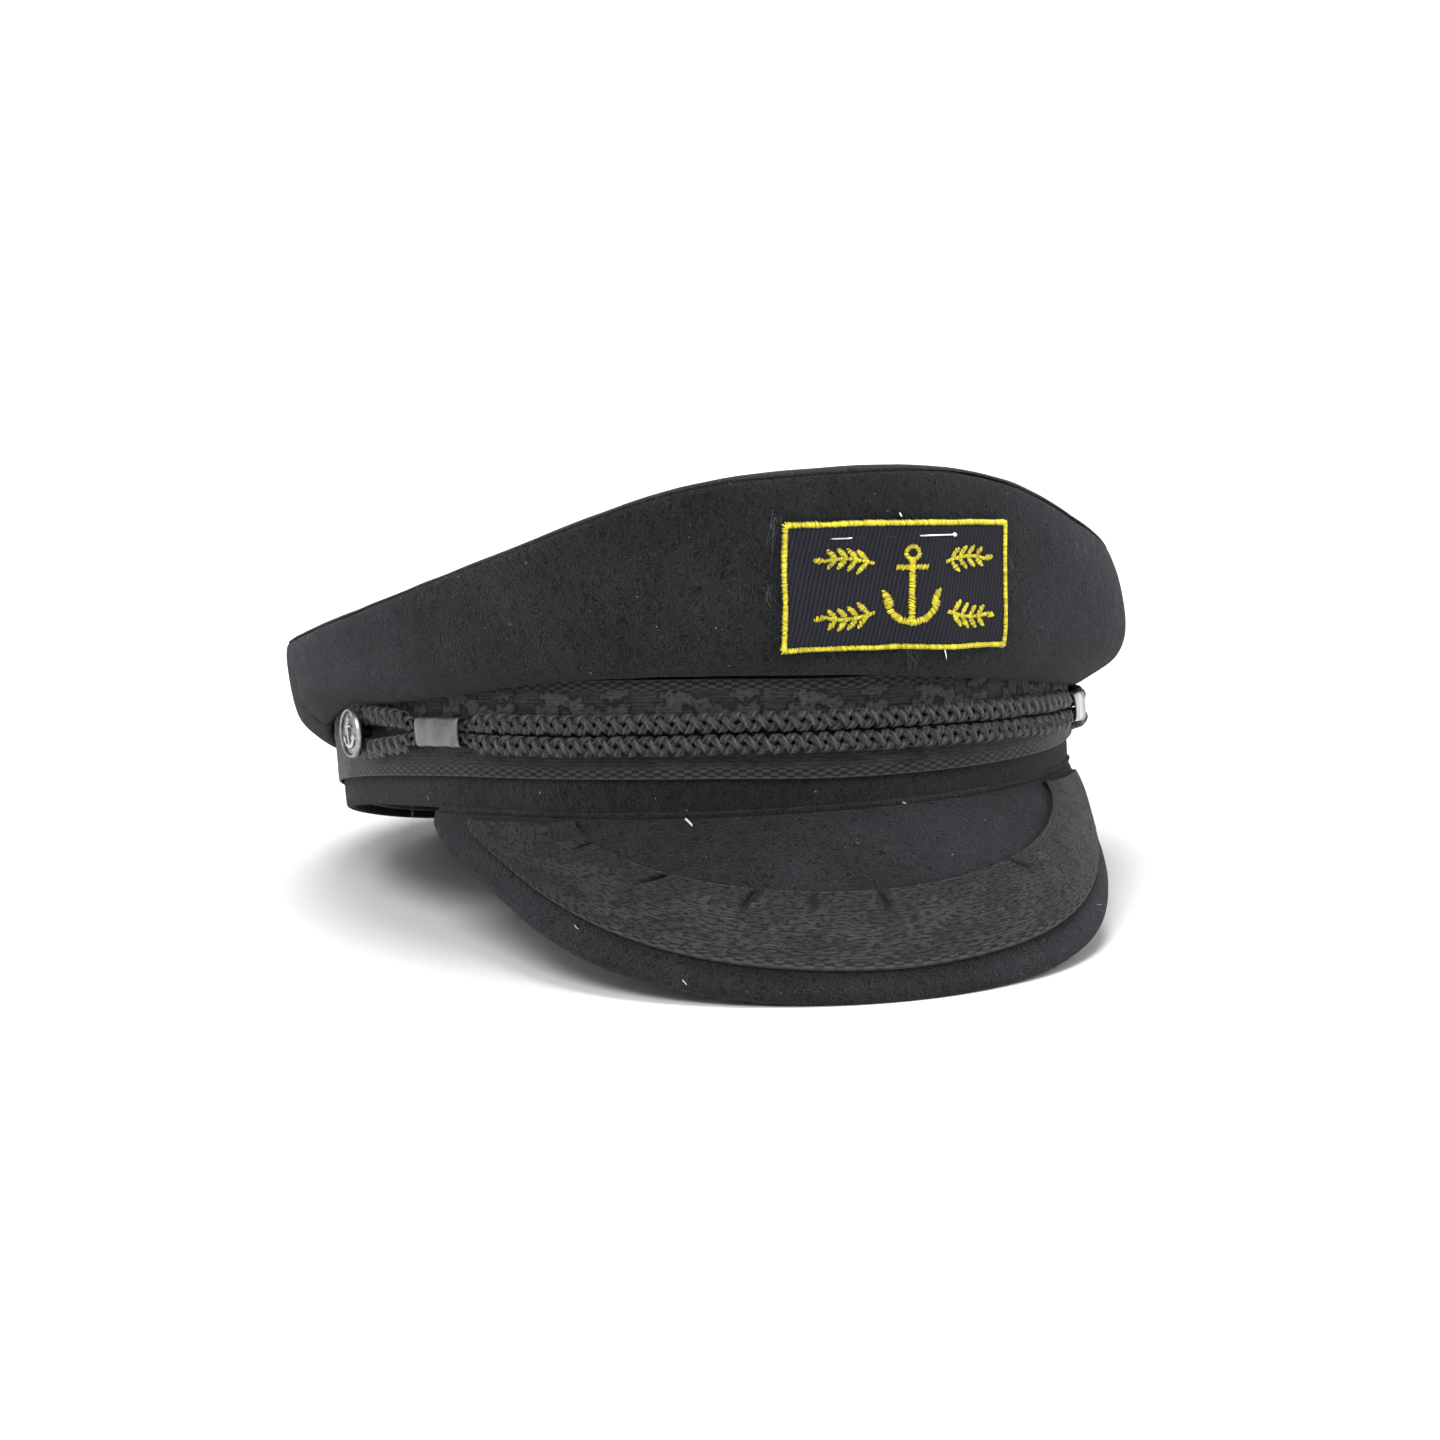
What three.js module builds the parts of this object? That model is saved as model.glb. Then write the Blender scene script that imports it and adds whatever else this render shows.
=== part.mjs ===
// Soft-crowned captain's cap in felt, lying on its rear band rim and the front edge of its peak.
// Millimetres, +Z up, peak toward -Y, wearer's left toward +X. Angles are degrees round the head oval:
// 0 at the front, +90 at the wearer's left, 180 at the rear.
import * as THREE from 'three';

// Head opening, walls and clearances
const HEAD_WIDTH = 160;
const HEAD_LENGTH = 202;
const REAR_WIDENING = 0.01;
const CLEARANCE = 0.3;
const SWEATBAND_THICKNESS = 1.2;
const HEADBAND_THICKNESS = 3;
const RIBBON_THICKNESS = 1;
const FELT_THICKNESS = 1.6;

// Band and its ribbon
const BAND_HEIGHT = 29.6;
const BAND_CORNER = 0.9;
const RIBBON_LOWER = BAND_HEIGHT * 0.257;
const RIBBON_WIDTH = BAND_HEIGHT * 0.733;
const SWEATBAND_LOWER = 1.6;
const SWEATBAND_WIDTH = BAND_HEIGHT * 0.777;
const RIM_LIFT = 3.6;

// Crown
const CROWN_HEIGHT = 67.3;
const CROWN_DROOP = BAND_HEIGHT * 0.456;
const CROWN_OVERHANG = 17.5;
const SEAM_ROLL = 0.7;
const SIDE_SEAM_ANGLE = 101;
const SIDE_SEAM_PINCH = 1.3;
const SIDE_SEAM_SPREAD = 4;
const LIP_DEPTH = 3.4;
const LIP_ROLL = 1.1;
const SEAT_EDGE = 1.5;
const SEAT_BEND = 1;
const SEAT_SLOPE = 0.6;
const TIP_BULGE = 9;
const TIP_MEAN_BULGE = 5;

// Peak and its ribbon
const PEAK_REACH = 32;
const PEAK_DROP = 40.7;
const PEAK_ARCH = 2.2;
const PEAK_THICKNESS = 3;
const PEAK_HALF_ANGLE = 66;
const PEAK_START = 3.8;
const PEAK_RIBBON_INNER_ANGLE = 39.5;
const PEAK_RIBBON_OUTER_ANGLE = 57.5;
const PEAK_RIBBON_INNER_SHARE = 0.47;
const PEAK_RIBBON_OUTER_SHARE = 0.86;
const PEAK_RIBBON_SET_BACK = 0.035;

// Cord, keepers and buttons
const CORD_HALF_HEIGHT = 2.2;
const CORD_HALF_DEPTH = 1.6;
const CORD_SPACING = 4.8;
const CORD_OFFSET = 7.75;
const CORD_LEVEL = BAND_HEIGHT * 0.591;
const PINCHED_HALF_HEIGHT = 1.2;
const PINCHED_HALF_DEPTH = 0.85;
const PINCHED_SPACING = 2.75;
const KEEPER_RIGHT_ANGLE = 60.5;
const KEEPER_LEFT_ANGLE = 55;
const KEEPER_LENGTH = 15.5;
const KEEPER_WALL = 0.4;
const BUTTON_RIGHT_ANGLE = 80;
const BUTTON_LEFT_ANGLE = 87;
const BUTTON_DIAMETER = 11.6;
const BUTTON_RIM = 0.9;
const BUTTON_DEPTH = 1.8;
const SHANK_DIAMETER = 3;
const CORD_BEND_RADIUS = 4;

// Patch and its two dressmaker's pins
const PATCH_WIDTH = 53.4;
const PATCH_HEIGHT = 27.4;
const PATCH_THICKNESS = 1;
const PATCH_ANGLE = 8;
const PATCH_LEVEL = 43.1;
const PATCH_TURN = -2;
const PATCH_RIDGE = 1.35;
const PATCH_RIDGE_WIDTH = 7;
const PATCH_RIDGE_TOP = 2.5;
const PATCH_RIDGE_FOOT = 9.5;
const BORDER_WIDTH = 1.5;
const BORDER_INSET = 0.35;
const BORDER_THICKNESS = 0.7;
const TOP_PIN_LENGTH = 30;
const SLANTED_PIN_LENGTH = 34;
const PIN_DIAMETER = 0.6;
const PIN_HEAD_DIAMETER = 1.7;
const PIN_HEAD_LENGTH = 1.2;
const PIN_TAPER = 3;
const PIN_TIP = 0.15;
const TOP_PIN_UP = 10.1;
const TOP_PIN_POINT = -15.2;
const TOP_PIN_HEAD = 14.5;
const SLANTED_PIN_POINT = 11.8;
const SLANTED_PIN_HEAD = 1.6;
const SLANTED_PIN_DOWN = 17;
const SLANTED_PIN_UP = 15.4;

// Depth of felt pressed flat where the cap rests
const FLATTENING = 0.7;

// Facets round the head
const BAND_SIDES = 56;
const LINING_SIDES = 42;
const TIP_SIDES = 50;

// Depth of a coarse facet inside the true curve
const FACET_DEPTH = 0.15;

// Rise of the band's rim from a plane, as a share of RIM_LIFT
const RIM_ROWS = [
  { angle: 0, lift: -1.0 },
  { angle: 20, lift: -0.82 },
  { angle: 40, lift: -0.22 },
  { angle: 64, lift: 0.85 },
  { angle: 82, lift: 1.42 },
  { angle: 98, lift: 1.5 },
  { angle: 112, lift: 1.25 },
  { angle: 128, lift: 0.75 },
  { angle: 145, lift: 0.2 },
  { angle: 160, lift: 0 },
  { angle: 180, lift: 0 },
];

// Crown round the head: droop over the band as a share of CROWN_DROOP, belly and tip seam outward as shares of
// CROWN_OVERHANG, height of the belly as a share of the wall, tip bulge as a share of TIP_BULGE
const CROWN_ROWS = [
  { angle: -180, droop: 1.0, belly: 0.9, bellyAt: 0.5, seam: 0.74, bulge: 0.5 },
  { angle: -140, droop: 1.0, belly: 0.93, bellyAt: 0.52, seam: 0.78, bulge: 0.45 },
  { angle: -114, droop: 1.0, belly: 0.93, bellyAt: 0.55, seam: 0.86, bulge: 0.4 },
  { angle: -100, droop: 0.7, belly: 0.86, bellyAt: 0.55, seam: 0.87, bulge: 0.35 },
  { angle: -85, droop: 0.46, belly: 0.82, bellyAt: 0.55, seam: 0.9, bulge: 0.3 },
  { angle: -70, droop: 0.44, belly: 0.81, bellyAt: 0.55, seam: 0.93, bulge: 0.27 },
  { angle: -57, droop: 0.27, belly: 0.8, bellyAt: 0.55, seam: 0.95, bulge: 0.25 },
  { angle: -42, droop: 0.04, belly: 0.78, bellyAt: 0.55, seam: 0.94, bulge: 0.3 },
  { angle: -26, droop: 0, belly: 0.78, bellyAt: 0.55, seam: 0.93, bulge: 0.54 },
  { angle: -9, droop: 0.05, belly: 0.78, bellyAt: 0.55, seam: 0.93, bulge: 0.72 },
  { angle: 9, droop: 0.18, belly: 0.79, bellyAt: 0.55, seam: 0.93, bulge: 0.75 },
  { angle: 30, droop: 0.5, belly: 0.86, bellyAt: 0.52, seam: 0.92, bulge: 0.75 },
  { angle: 48, droop: 0.76, belly: 1.02, bellyAt: 0.48, seam: 0.94, bulge: 0.7 },
  { angle: 57, droop: 0.9, belly: 1.1, bellyAt: 0.45, seam: 0.98, bulge: 0.7 },
  { angle: 68, droop: 0.95, belly: 1.18, bellyAt: 0.42, seam: 1.04, bulge: 0.7 },
  { angle: 87, droop: 0.96, belly: 1.16, bellyAt: 0.43, seam: 1.06, bulge: 0.75 },
  { angle: 101, droop: 0.98, belly: 1.1, bellyAt: 0.48, seam: 1.0, bulge: 0.75 },
  { angle: 114, droop: 1.0, belly: 1.05, bellyAt: 0.48, seam: 0.95, bulge: 0.75 },
  { angle: 140, droop: 1.0, belly: 0.98, bellyAt: 0.48, seam: 0.82, bulge: 0.6 },
  { angle: 180, droop: 1.0, belly: 0.9, bellyAt: 0.5, seam: 0.74, bulge: 0.5 },
];

// Lower edge of the band ribbon over the rim, as a share of RIBBON_LOWER
const RIBBON_ROWS = [
  { angle: -180, lower: 0.85 },
  { angle: -90, lower: 0.86 },
  { angle: -55, lower: 1.0 },
  { angle: -22, lower: 1.0 },
  { angle: 0, lower: 0.8 },
  { angle: 30, lower: 0.72 },
  { angle: 60, lower: 0.72 },
  { angle: 120, lower: 0.8 },
  { angle: 180, lower: 0.85 },
];

// Height of the tip seam over the rim plane, as a share of CROWN_HEIGHT
const SEAM_ROWS = [
  { angle: 0, rise: 1.0 },
  { angle: 20, rise: 0.981 },
  { angle: 45, rise: 0.825 },
  { angle: 69, rise: 0.722 },
  { angle: 90, rise: 0.678 },
  { angle: 112, rise: 0.672 },
  { angle: 140, rise: 0.643 },
  { angle: 180, rise: 0.629 },
];

// Edge of the peak from the front to its corner, as shares of PEAK_REACH and PEAK_DROP; the wearer's left half
// reaches a little less
const PEAK_ROWS = [
  { angle: 0, reach: 1.0, leftReach: 1.0, drop: 1.0 },
  { angle: 10, reach: 0.975, leftReach: 0.965, drop: 0.972 },
  { angle: 20, reach: 0.905, leftReach: 0.875, drop: 0.904 },
  { angle: 30, reach: 0.765, leftReach: 0.705, drop: 0.784 },
  { angle: 40, reach: 0.56, leftReach: 0.49, drop: 0.61 },
  { angle: 50, reach: 0.33, leftReach: 0.265, drop: 0.405 },
  { angle: 58, reach: 0.185, leftReach: 0.14, drop: 0.27 },
  { angle: 63, reach: 0.1, leftReach: 0.08, drop: 0.185 },
  { angle: 66, reach: 0.03, leftReach: 0.03, drop: 0.085 },
];

// Middle of the cord pair over the rim, as a share of CORD_LEVEL
const CORD_ROWS = [
  { angle: -80, level: 0.97 },
  { angle: -60, level: 1.0 },
  { angle: -45, level: 0.99 },
  { angle: -20, level: 0.985 },
  { angle: 0, level: 0.93 },
  { angle: 20, level: 0.87 },
  { angle: 36, level: 0.81 },
  { angle: 55, level: 0.73 },
  { angle: 68, level: 0.635 },
  { angle: 87, level: 0.565 },
];

// Outward offsets from the head oval
const HEADBAND_INNER = SWEATBAND_THICKNESS + CLEARANCE;
const HEADBAND_OUTER = HEADBAND_INNER + HEADBAND_THICKNESS;
const RIBBON_INNER = HEADBAND_OUTER + CLEARANCE;
const RIBBON_OUTER = RIBBON_INNER + RIBBON_THICKNESS;
const LIP_INNER = RIBBON_OUTER + CLEARANCE + FACET_DEPTH;

const radians = THREE.MathUtils.degToRad;
const mix = THREE.MathUtils.lerp;

// Smooth reading of a table column; the slope is level at the first row and, unless free, at the last
function read(rows, column, angle, freeEnd = false) {
  const last = rows.length - 1;
  const at = THREE.MathUtils.clamp(angle, rows[0].angle, rows[last].angle);
  const next = Math.max(1, rows.findIndex((row) => row.angle >= at));
  const slope = (i) => {
    if (i === 0 || (i === last && !freeEnd)) return 0;
    const before = rows[i - 1];
    const after = rows[Math.min(i + 1, last)];
    return (after[column] - before[column]) / (after.angle - before.angle);
  };
  const from = rows[next - 1];
  const to = rows[next];
  const span = to.angle - from.angle;
  const t = (at - from.angle) / span;
  const s = t * t * (3 - 2 * t);
  const bendFrom = t * (1 - t) * (1 - t) * span * slope(next - 1);
  const bendTo = t * t * (t - 1) * span * slope(next);
  return mix(from[column], to[column], s) + bendFrom + bendTo;
}

// Even steps from start to end, both included
function steps(start, end, count) {
  return Array.from({ length: count + 1 }, (_, i) => mix(start, end, i / count));
}

// Point outside the head oval, square to it
function ovalPoint(angle, offset, height) {
  const along = Math.cos(radians(angle));
  const across = Math.sin(radians(angle));
  const halfWidth = (HEAD_WIDTH / 2) * (1 - REAR_WIDENING * along);
  const halfLength = HEAD_LENGTH / 2;
  const widthChange = halfWidth * along + (HEAD_WIDTH / 2) * REAR_WIDENING * across * across;
  const outward = new THREE.Vector3(halfLength * across, -widthChange, 0).normalize();
  return new THREE.Vector3(halfWidth * across, -halfLength * along, height).addScaledVector(outward, offset);
}

function ovalOutward(angle) {
  return ovalPoint(angle, 1, 0).sub(ovalPoint(angle, 0, 0));
}

function rimHeight(angle) {
  return RIM_LIFT * read(RIM_ROWS, 'lift', Math.abs(angle));
}

function seamHeight(angle) {
  return CROWN_HEIGHT * read(SEAM_ROWS, 'rise', Math.abs(angle));
}

// Outward-facing solid from triangles; shared corners are welded and empty triangles dropped
function solid(triangles) {
  const places = new Map();
  const positions = [];
  const index = [];
  const corner = (point) => {
    const key = point.toArray().map((value) => Math.round(value * 1000)).join(' ');
    if (!places.has(key)) {
      places.set(key, positions.length / 3);
      positions.push(...point.toArray());
    }
    return places.get(key);
  };
  let volume = 0;
  for (const triangle of triangles) {
    const [a, b, c] = triangle.map(corner);
    if (a === b || b === c || c === a) continue;
    index.push([a, b, c]);
    volume += triangle[0].dot(triangle[1].clone().cross(triangle[2]));
  }
  const facing = volume > 0 ? index : index.map(([a, b, c]) => [a, c, b]);
  const geometry = new THREE.BufferGeometry();
  geometry.setAttribute('position', new THREE.Float32BufferAttribute(positions, 3));
  geometry.setIndex(facing.flat());
  return geometry;
}

// Flat end of a loft, seen square to its own plane
function endCap(section, inverted) {
  const middle = section.reduce((sum, point) => sum.add(point), new THREE.Vector3());
  middle.divideScalar(section.length);
  const square = new THREE.Vector3();
  section.forEach((point, i) => {
    const following = section[(i + 1) % section.length];
    square.add(point.clone().sub(middle).cross(following.clone().sub(middle)));
  });
  square.normalize();
  const sideways = section[1].clone().sub(section[0]).projectOnPlane(square).normalize();
  const upward = square.clone().cross(sideways);
  const contour = section.map((point) => new THREE.Vector2(point.dot(sideways), point.dot(upward)));
  const faces = THREE.ShapeUtils.triangulateShape(contour, []);
  return faces.map(([a, b, c]) => [section[a], section[inverted ? c : b], section[inverted ? b : c]]);
}

// Solid through closed sections with equal point counts; joined means the last section meets the first
function loft(sections, joined) {
  const triangles = [];
  const count = sections[0].length;
  const spans = joined ? sections.length : sections.length - 1;
  for (let i = 0; i < spans; i += 1) {
    const here = sections[i];
    const there = sections[(i + 1) % sections.length];
    for (let j = 0; j < count; j += 1) {
      const k = (j + 1) % count;
      triangles.push([here[j], there[j], there[k]], [here[j], there[k], here[k]]);
    }
  }
  if (!joined) {
    triangles.push(...endCap(sections[0], false), ...endCap(sections[sections.length - 1], true));
  }
  return solid(triangles);
}

// Solid of revolution about an axis; the profile is a list of [radius, distance along the axis]
function revolve(base, axis, profile, sides) {
  const sideways = new THREE.Vector3(0, 0, 1).cross(axis).normalize();
  const upward = axis.clone().cross(sideways);
  const sections = steps(0, 360 - 360 / sides, sides - 1).map((turn) => profile.map(([radius, distance]) => base
    .clone()
    .addScaledVector(axis, distance)
    .addScaledVector(sideways, radius * Math.cos(radians(turn)))
    .addScaledVector(upward, radius * Math.sin(radians(turn)))));
  return loft(sections, true);
}

// Hoop with one cross-section, given as [offset, height over a base line that follows the head]
function hoop(profile, sides, baseHeight) {
  const angles = steps(-180, 180 - 360 / sides, sides - 1);
  return loft(angles.map((angle) => profile.map(([offset, height]) => (
    ovalPoint(angle, offset, baseHeight(angle) + height)))), true);
}

function buildHeadband() {
  const inner = HEADBAND_INNER;
  const outer = HEADBAND_OUTER;
  const corner = BAND_CORNER;
  return hoop([
    [inner, corner],
    [inner + corner, 0],
    [outer - corner, 0],
    [outer - corner * 0.3, corner * 0.3],
    [outer, corner],
    [outer, BAND_HEIGHT - corner / 2],
    [outer - corner / 2, BAND_HEIGHT],
    [inner, BAND_HEIGHT],
  ], BAND_SIDES, rimHeight);
}

function buildSweatband() {
  const edge = SWEATBAND_THICKNESS / 4;
  const top = SWEATBAND_LOWER + SWEATBAND_WIDTH;
  return hoop([
    [0, SWEATBAND_LOWER + edge],
    [edge, SWEATBAND_LOWER],
    [SWEATBAND_THICKNESS, SWEATBAND_LOWER],
    [SWEATBAND_THICKNESS, top],
    [0, top],
  ], LINING_SIDES, rimHeight);
}

function ribbonHeight(angle) {
  return rimHeight(angle) + RIBBON_LOWER * read(RIBBON_ROWS, 'lower', angle);
}

function buildBandRibbon() {
  const edge = RIBBON_THICKNESS * 0.4;
  return hoop([
    [RIBBON_INNER, 0],
    [RIBBON_OUTER - edge, 0],
    [RIBBON_OUTER, edge],
    [RIBBON_OUTER, RIBBON_WIDTH - edge],
    [RIBBON_OUTER - edge, RIBBON_WIDTH],
    [RIBBON_INNER, RIBBON_WIDTH],
  ], BAND_SIDES, ribbonHeight);
}

// Valley drawn in by the stitching of the side seams
function seamPinch(angle) {
  const away = (Math.abs(angle) - SIDE_SEAM_ANGLE) / SIDE_SEAM_SPREAD;
  return SIDE_SEAM_PINCH * Math.exp(-away * away);
}

function seamOffset(angle) {
  return CROWN_OVERHANG * read(CROWN_ROWS, 'seam', angle);
}

// Top of the cord, keeper or button that the crown's lip hangs over
function fittingsTop(angle) {
  const reach = THREE.MathUtils.radToDeg(BUTTON_DIAMETER / 2 / (HEAD_LENGTH / 2));
  const button = Math.abs(buttonAngle(angle));
  if (Math.abs(angle) > button + reach) return -Infinity;
  const bend = Math.max(CORD_BEND_RADIUS + CORD_HALF_HEIGHT, BUTTON_DIAMETER / 2);
  const run = cordHalfGap(angle) + CORD_HALF_HEIGHT;
  return cordLevel(angle) + (Math.abs(angle) > button - reach ? bend : run);
}

// Outer line of the crown wall from its lip up to the tip seam, as [offset, height over the rim plane]
function crownLine(angle, count) {
  const top = seamHeight(angle) - CLEARANCE / 2;
  const hanging = rimHeight(angle) + BAND_HEIGHT - CROWN_DROOP * read(CROWN_ROWS, 'droop', angle);
  const bottom = Math.max(hanging, fittingsTop(angle) + CLEARANCE);
  const belly = CROWN_OVERHANG * read(CROWN_ROWS, 'belly', angle) - seamPinch(angle);
  const bellyAt = read(CROWN_ROWS, 'bellyAt', angle);
  const seam = seamOffset(angle);
  const lip = LIP_INNER + LIP_DEPTH;
  const curve = new THREE.CatmullRomCurve3([
    new THREE.Vector3(lip, bottom + LIP_ROLL, 0),
    new THREE.Vector3(mix(lip, belly, 0.78), mix(bottom, top, bellyAt * 0.45), 0),
    new THREE.Vector3(belly, mix(bottom, top, bellyAt), 0),
    new THREE.Vector3(mix(belly, seam, 0.62) + SEAM_ROLL, mix(bottom, top, 0.84), 0),
    new THREE.Vector3(seam, top, 0),
  ], false, 'centripetal');
  return curve.getSpacedPoints(count).map((point) => [point.x, point.y]);
}

// Closed section of the crown wall: a lip doubled over the ribbon, a seat on the band and one wall of felt
function crownSection(angle, count) {
  const line = crownLine(angle, count);
  const seat = rimHeight(angle) + BAND_HEIGHT + CLEARANCE;
  const bottom = line[0][1] - LIP_ROLL;
  const roll = LIP_ROLL * 0.45;
  const wall = [];
  line.forEach(([offset, height], i) => {
    const before = line[Math.max(0, i - 1)];
    const after = line[Math.min(count, i + 1)];
    const along = new THREE.Vector2(after[0] - before[0], after[1] - before[1]).normalize();
    const inner = [offset - along.y * FELT_THICKNESS, height + along.x * FELT_THICKNESS];
    if (inner[1] > seat + FELT_THICKNESS + SEAT_BEND) wall.push(inner);
  });
  const section = [
    [LIP_INNER, bottom + LIP_ROLL],
    [LIP_INNER + roll, bottom + roll * 0.6],
    [LIP_INNER + LIP_DEPTH / 2, bottom],
    ...line,
  ];
  const spare = count + 1 - wall.length;
  const filled = [...wall.reverse()];
  const foot = [filled[filled.length - 1][0] - SEAT_SLOPE, seat + FELT_THICKNESS];
  for (let i = 0; i < spare; i += 1) {
    filled.push([mix(foot[0], HEADBAND_INNER, i / spare), foot[1]]);
  }
  return [...section, ...filled, [SEAT_EDGE, seat], [LIP_INNER, seat - CLEARANCE * 0.5]];
}

function placeSection(angle, section) {
  return section.map(([offset, height]) => ovalPoint(angle, offset, height));
}

function buildCrownPanel(angles) {
  const wallSteps = 8;
  return loft(angles.map((angle) => placeSection(angle, crownSection(angle, wallSteps))), false);
}

// Half the clearance of a side seam, as an angle
const SIDE_SEAM_HALF_GAP = THREE.MathUtils.radToDeg(CLEARANCE / 2 / (HEAD_LENGTH / 2 - 5));

function buildCrownFront() {
  const end = SIDE_SEAM_ANGLE - SIDE_SEAM_HALF_GAP;
  return buildCrownPanel([-end, -end + 2, ...steps(-end + 5, end - 5, 36), end - 2, end]);
}

function buildCrownRear() {
  const end = SIDE_SEAM_ANGLE + SIDE_SEAM_HALF_GAP;
  const angles = [end, end + 2, ...steps(end + 5, 355 - end, 18), 358 - end, 360 - end];
  return buildCrownPanel(angles.map((angle) => (angle > 180 ? angle - 360 : angle)));
}

// Waves of a closed line round the head: mean height, then cosine and sine parts
function waves(heightAt, order) {
  const samples = steps(-180, 177, 119);
  const parts = [];
  for (let n = 0; n <= order; n += 1) {
    const scale = (n === 0 ? 1 : 2) / samples.length;
    const sum = (turn) => samples.reduce((total, angle) => total + heightAt(angle) * turn(radians(n * angle)), 0);
    parts.push([scale * sum(Math.cos), scale * sum(Math.sin)]);
  }
  return parts;
}

const SEAM_WAVES = waves(seamHeight, 6);

function wavesAt(share, angle) {
  return SEAM_WAVES.reduce((total, [even, odd], n) => (
    total + share ** n * (even * Math.cos(radians(n * angle)) + odd * Math.sin(radians(n * angle)))), 0);
}

// Top of the soft tip at a share of the way from its middle to its seam
function tipPoint(angle, share) {
  const seam = ovalPoint(angle, seamOffset(angle), 0);
  const residue = (seamHeight(angle) - wavesAt(1, angle)) * share ** 8;
  const edge = TIP_BULGE * read(CROWN_ROWS, 'bulge', angle);
  const bulge = mix(TIP_MEAN_BULGE, edge, share * share) * Math.sqrt(1 - share ** 4);
  return new THREE.Vector3(seam.x * share, seam.y * share, wavesAt(share, angle) + residue + bulge);
}

function buildCrownTip() {
  const shares = [0.994, 0.975, 0.94, 0.89, 0.8, 0.64, 0.4];
  const rise = CLEARANCE / 2;
  const sections = steps(-180, 180 - 360 / TIP_SIDES, TIP_SIDES - 1).map((angle) => {
    const rim = tipPoint(angle, 1);
    const upper = shares.map((share) => tipPoint(angle, share).setZ(tipPoint(angle, share).z + rise));
    const inset = 1 - FELT_THICKNESS / rim.clone().setZ(0).length();
    const lower = shares.slice(2).map((share) => {
      const point = tipPoint(angle, share);
      return point.set(point.x * inset, point.y * inset, point.z + rise - FELT_THICKNESS);
    });
    const middle = tipPoint(0, 0).z + rise;
    return [
      new THREE.Vector3(rim.x, rim.y, rim.z + rise),
      ...upper,
      new THREE.Vector3(0, 0, middle),
      new THREE.Vector3(0, 0, middle - FELT_THICKNESS),
      ...lower.reverse(),
      new THREE.Vector3(rim.x * inset, rim.y * inset, rim.z + rise),
    ];
  });
  return loft(sections, true);
}

// Top surface of the peak; share runs from the band to the edge
function peakPoint(angle, share) {
  const side = angle > 0 ? 'leftReach' : 'reach';
  const reach = PEAK_REACH * read(PEAK_ROWS, side, Math.abs(angle), true);
  const drop = PEAK_DROP * read(PEAK_ROWS, 'drop', Math.abs(angle), true);
  const arch = PEAK_ARCH * 4 * share * (1 - share) * (drop / PEAK_DROP);
  const lean = Math.atan2(drop, reach);
  const offset = PEAK_START + reach * share + arch * Math.sin(lean);
  const height = rimHeight(angle) - CLEARANCE * 1.2 - drop * share + arch * Math.cos(lean);
  return ovalPoint(angle, offset, height);
}

// Unit vector square to a surface given by a function of two values
function squareTo(surface, u, v) {
  const small = 0.01;
  const acrossU = surface(u + small, v).sub(surface(u - small, v));
  const acrossV = surface(u, v + small).sub(surface(u, v - small));
  return acrossU.cross(acrossV).normalize();
}

function peakSquare(angle, share) {
  const inside = THREE.MathUtils.clamp(angle, 0.5 - PEAK_HALF_ANGLE, PEAK_HALF_ANGLE - 0.5);
  const square = squareTo(peakPoint, inside, THREE.MathUtils.clamp(share, 0.02, 0.98));
  return square.z < 0 ? square.negate() : square;
}

function buildPeak() {
  const shares = [0, 0.12, 0.28, 0.46, 0.64, 0.8, 0.92];
  const edge = PEAK_THICKNESS / 2;
  const ends = PEAK_HALF_ANGLE - 1;
  const angles = [-PEAK_HALF_ANGLE, ...steps(-ends, ends, 32), PEAK_HALF_ANGLE];
  const sections = angles.map((angle) => {
    const length = peakPoint(angle, 1).distanceTo(peakPoint(angle, 0));
    const edgeShare = Math.max(0.93, 1 - edge / length);
    const below = (share, depth) => peakPoint(angle, share).addScaledVector(peakSquare(angle, share), -depth);
    const top = [...shares, edgeShare].map((share) => peakPoint(angle, share));
    const bottom = [...shares, edgeShare].map((share) => below(share, PEAK_THICKNESS));
    return [...top, below(1, edge * 0.55), below(1, edge * 1.45), ...bottom.reverse()];
  });
  return loft(sections, false);
}

// Peak ribbon: side runs from -1 to 1 between its ends, across from its inner to its outer edge
function peakRibbonPoint(side, across, lift) {
  const swing = Math.sin((Math.PI / 2) * side);
  const inward = Math.cos((Math.PI / 2) * side);
  const innerShare = PEAK_RIBBON_INNER_SHARE * inward ** 0.9;
  const outerShare = PEAK_RIBBON_OUTER_SHARE * inward ** 0.55;
  const angle = swing * mix(PEAK_RIBBON_INNER_ANGLE, PEAK_RIBBON_OUTER_ANGLE, across);
  const share = PEAK_RIBBON_SET_BACK + mix(innerShare, outerShare, across) * (1 - PEAK_RIBBON_SET_BACK);
  return peakPoint(angle, share).addScaledVector(peakSquare(angle, share), lift);
}

function buildPeakRibbon() {
  const across = [0, 0.33, 0.67, 1];
  const lower = CLEARANCE * 1.25;
  const sections = steps(-0.97, 0.97, 48).map((side) => [
    ...across.map((share) => peakRibbonPoint(side, share, lower + RIBBON_THICKNESS)),
    ...across.map((share) => peakRibbonPoint(side, share, lower)).reverse(),
  ]);
  return loft(sections, false);
}

function keeperAngle(side) {
  return side < 0 ? -KEEPER_RIGHT_ANGLE : KEEPER_LEFT_ANGLE;
}

function buttonAngle(side) {
  return side < 0 ? -BUTTON_RIGHT_ANGLE : BUTTON_LEFT_ANGLE;
}

// How far the cord is pinched at an angle: 0 free, 1 inside a keeper
function pinch(angle) {
  const away = Math.abs(angle - keeperAngle(angle));
  return 1 - THREE.MathUtils.smoothstep(away, 4.8, 8);
}

function cordLevel(angle) {
  return rimHeight(angle) + CORD_LEVEL * read(CORD_ROWS, 'level', angle);
}

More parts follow.
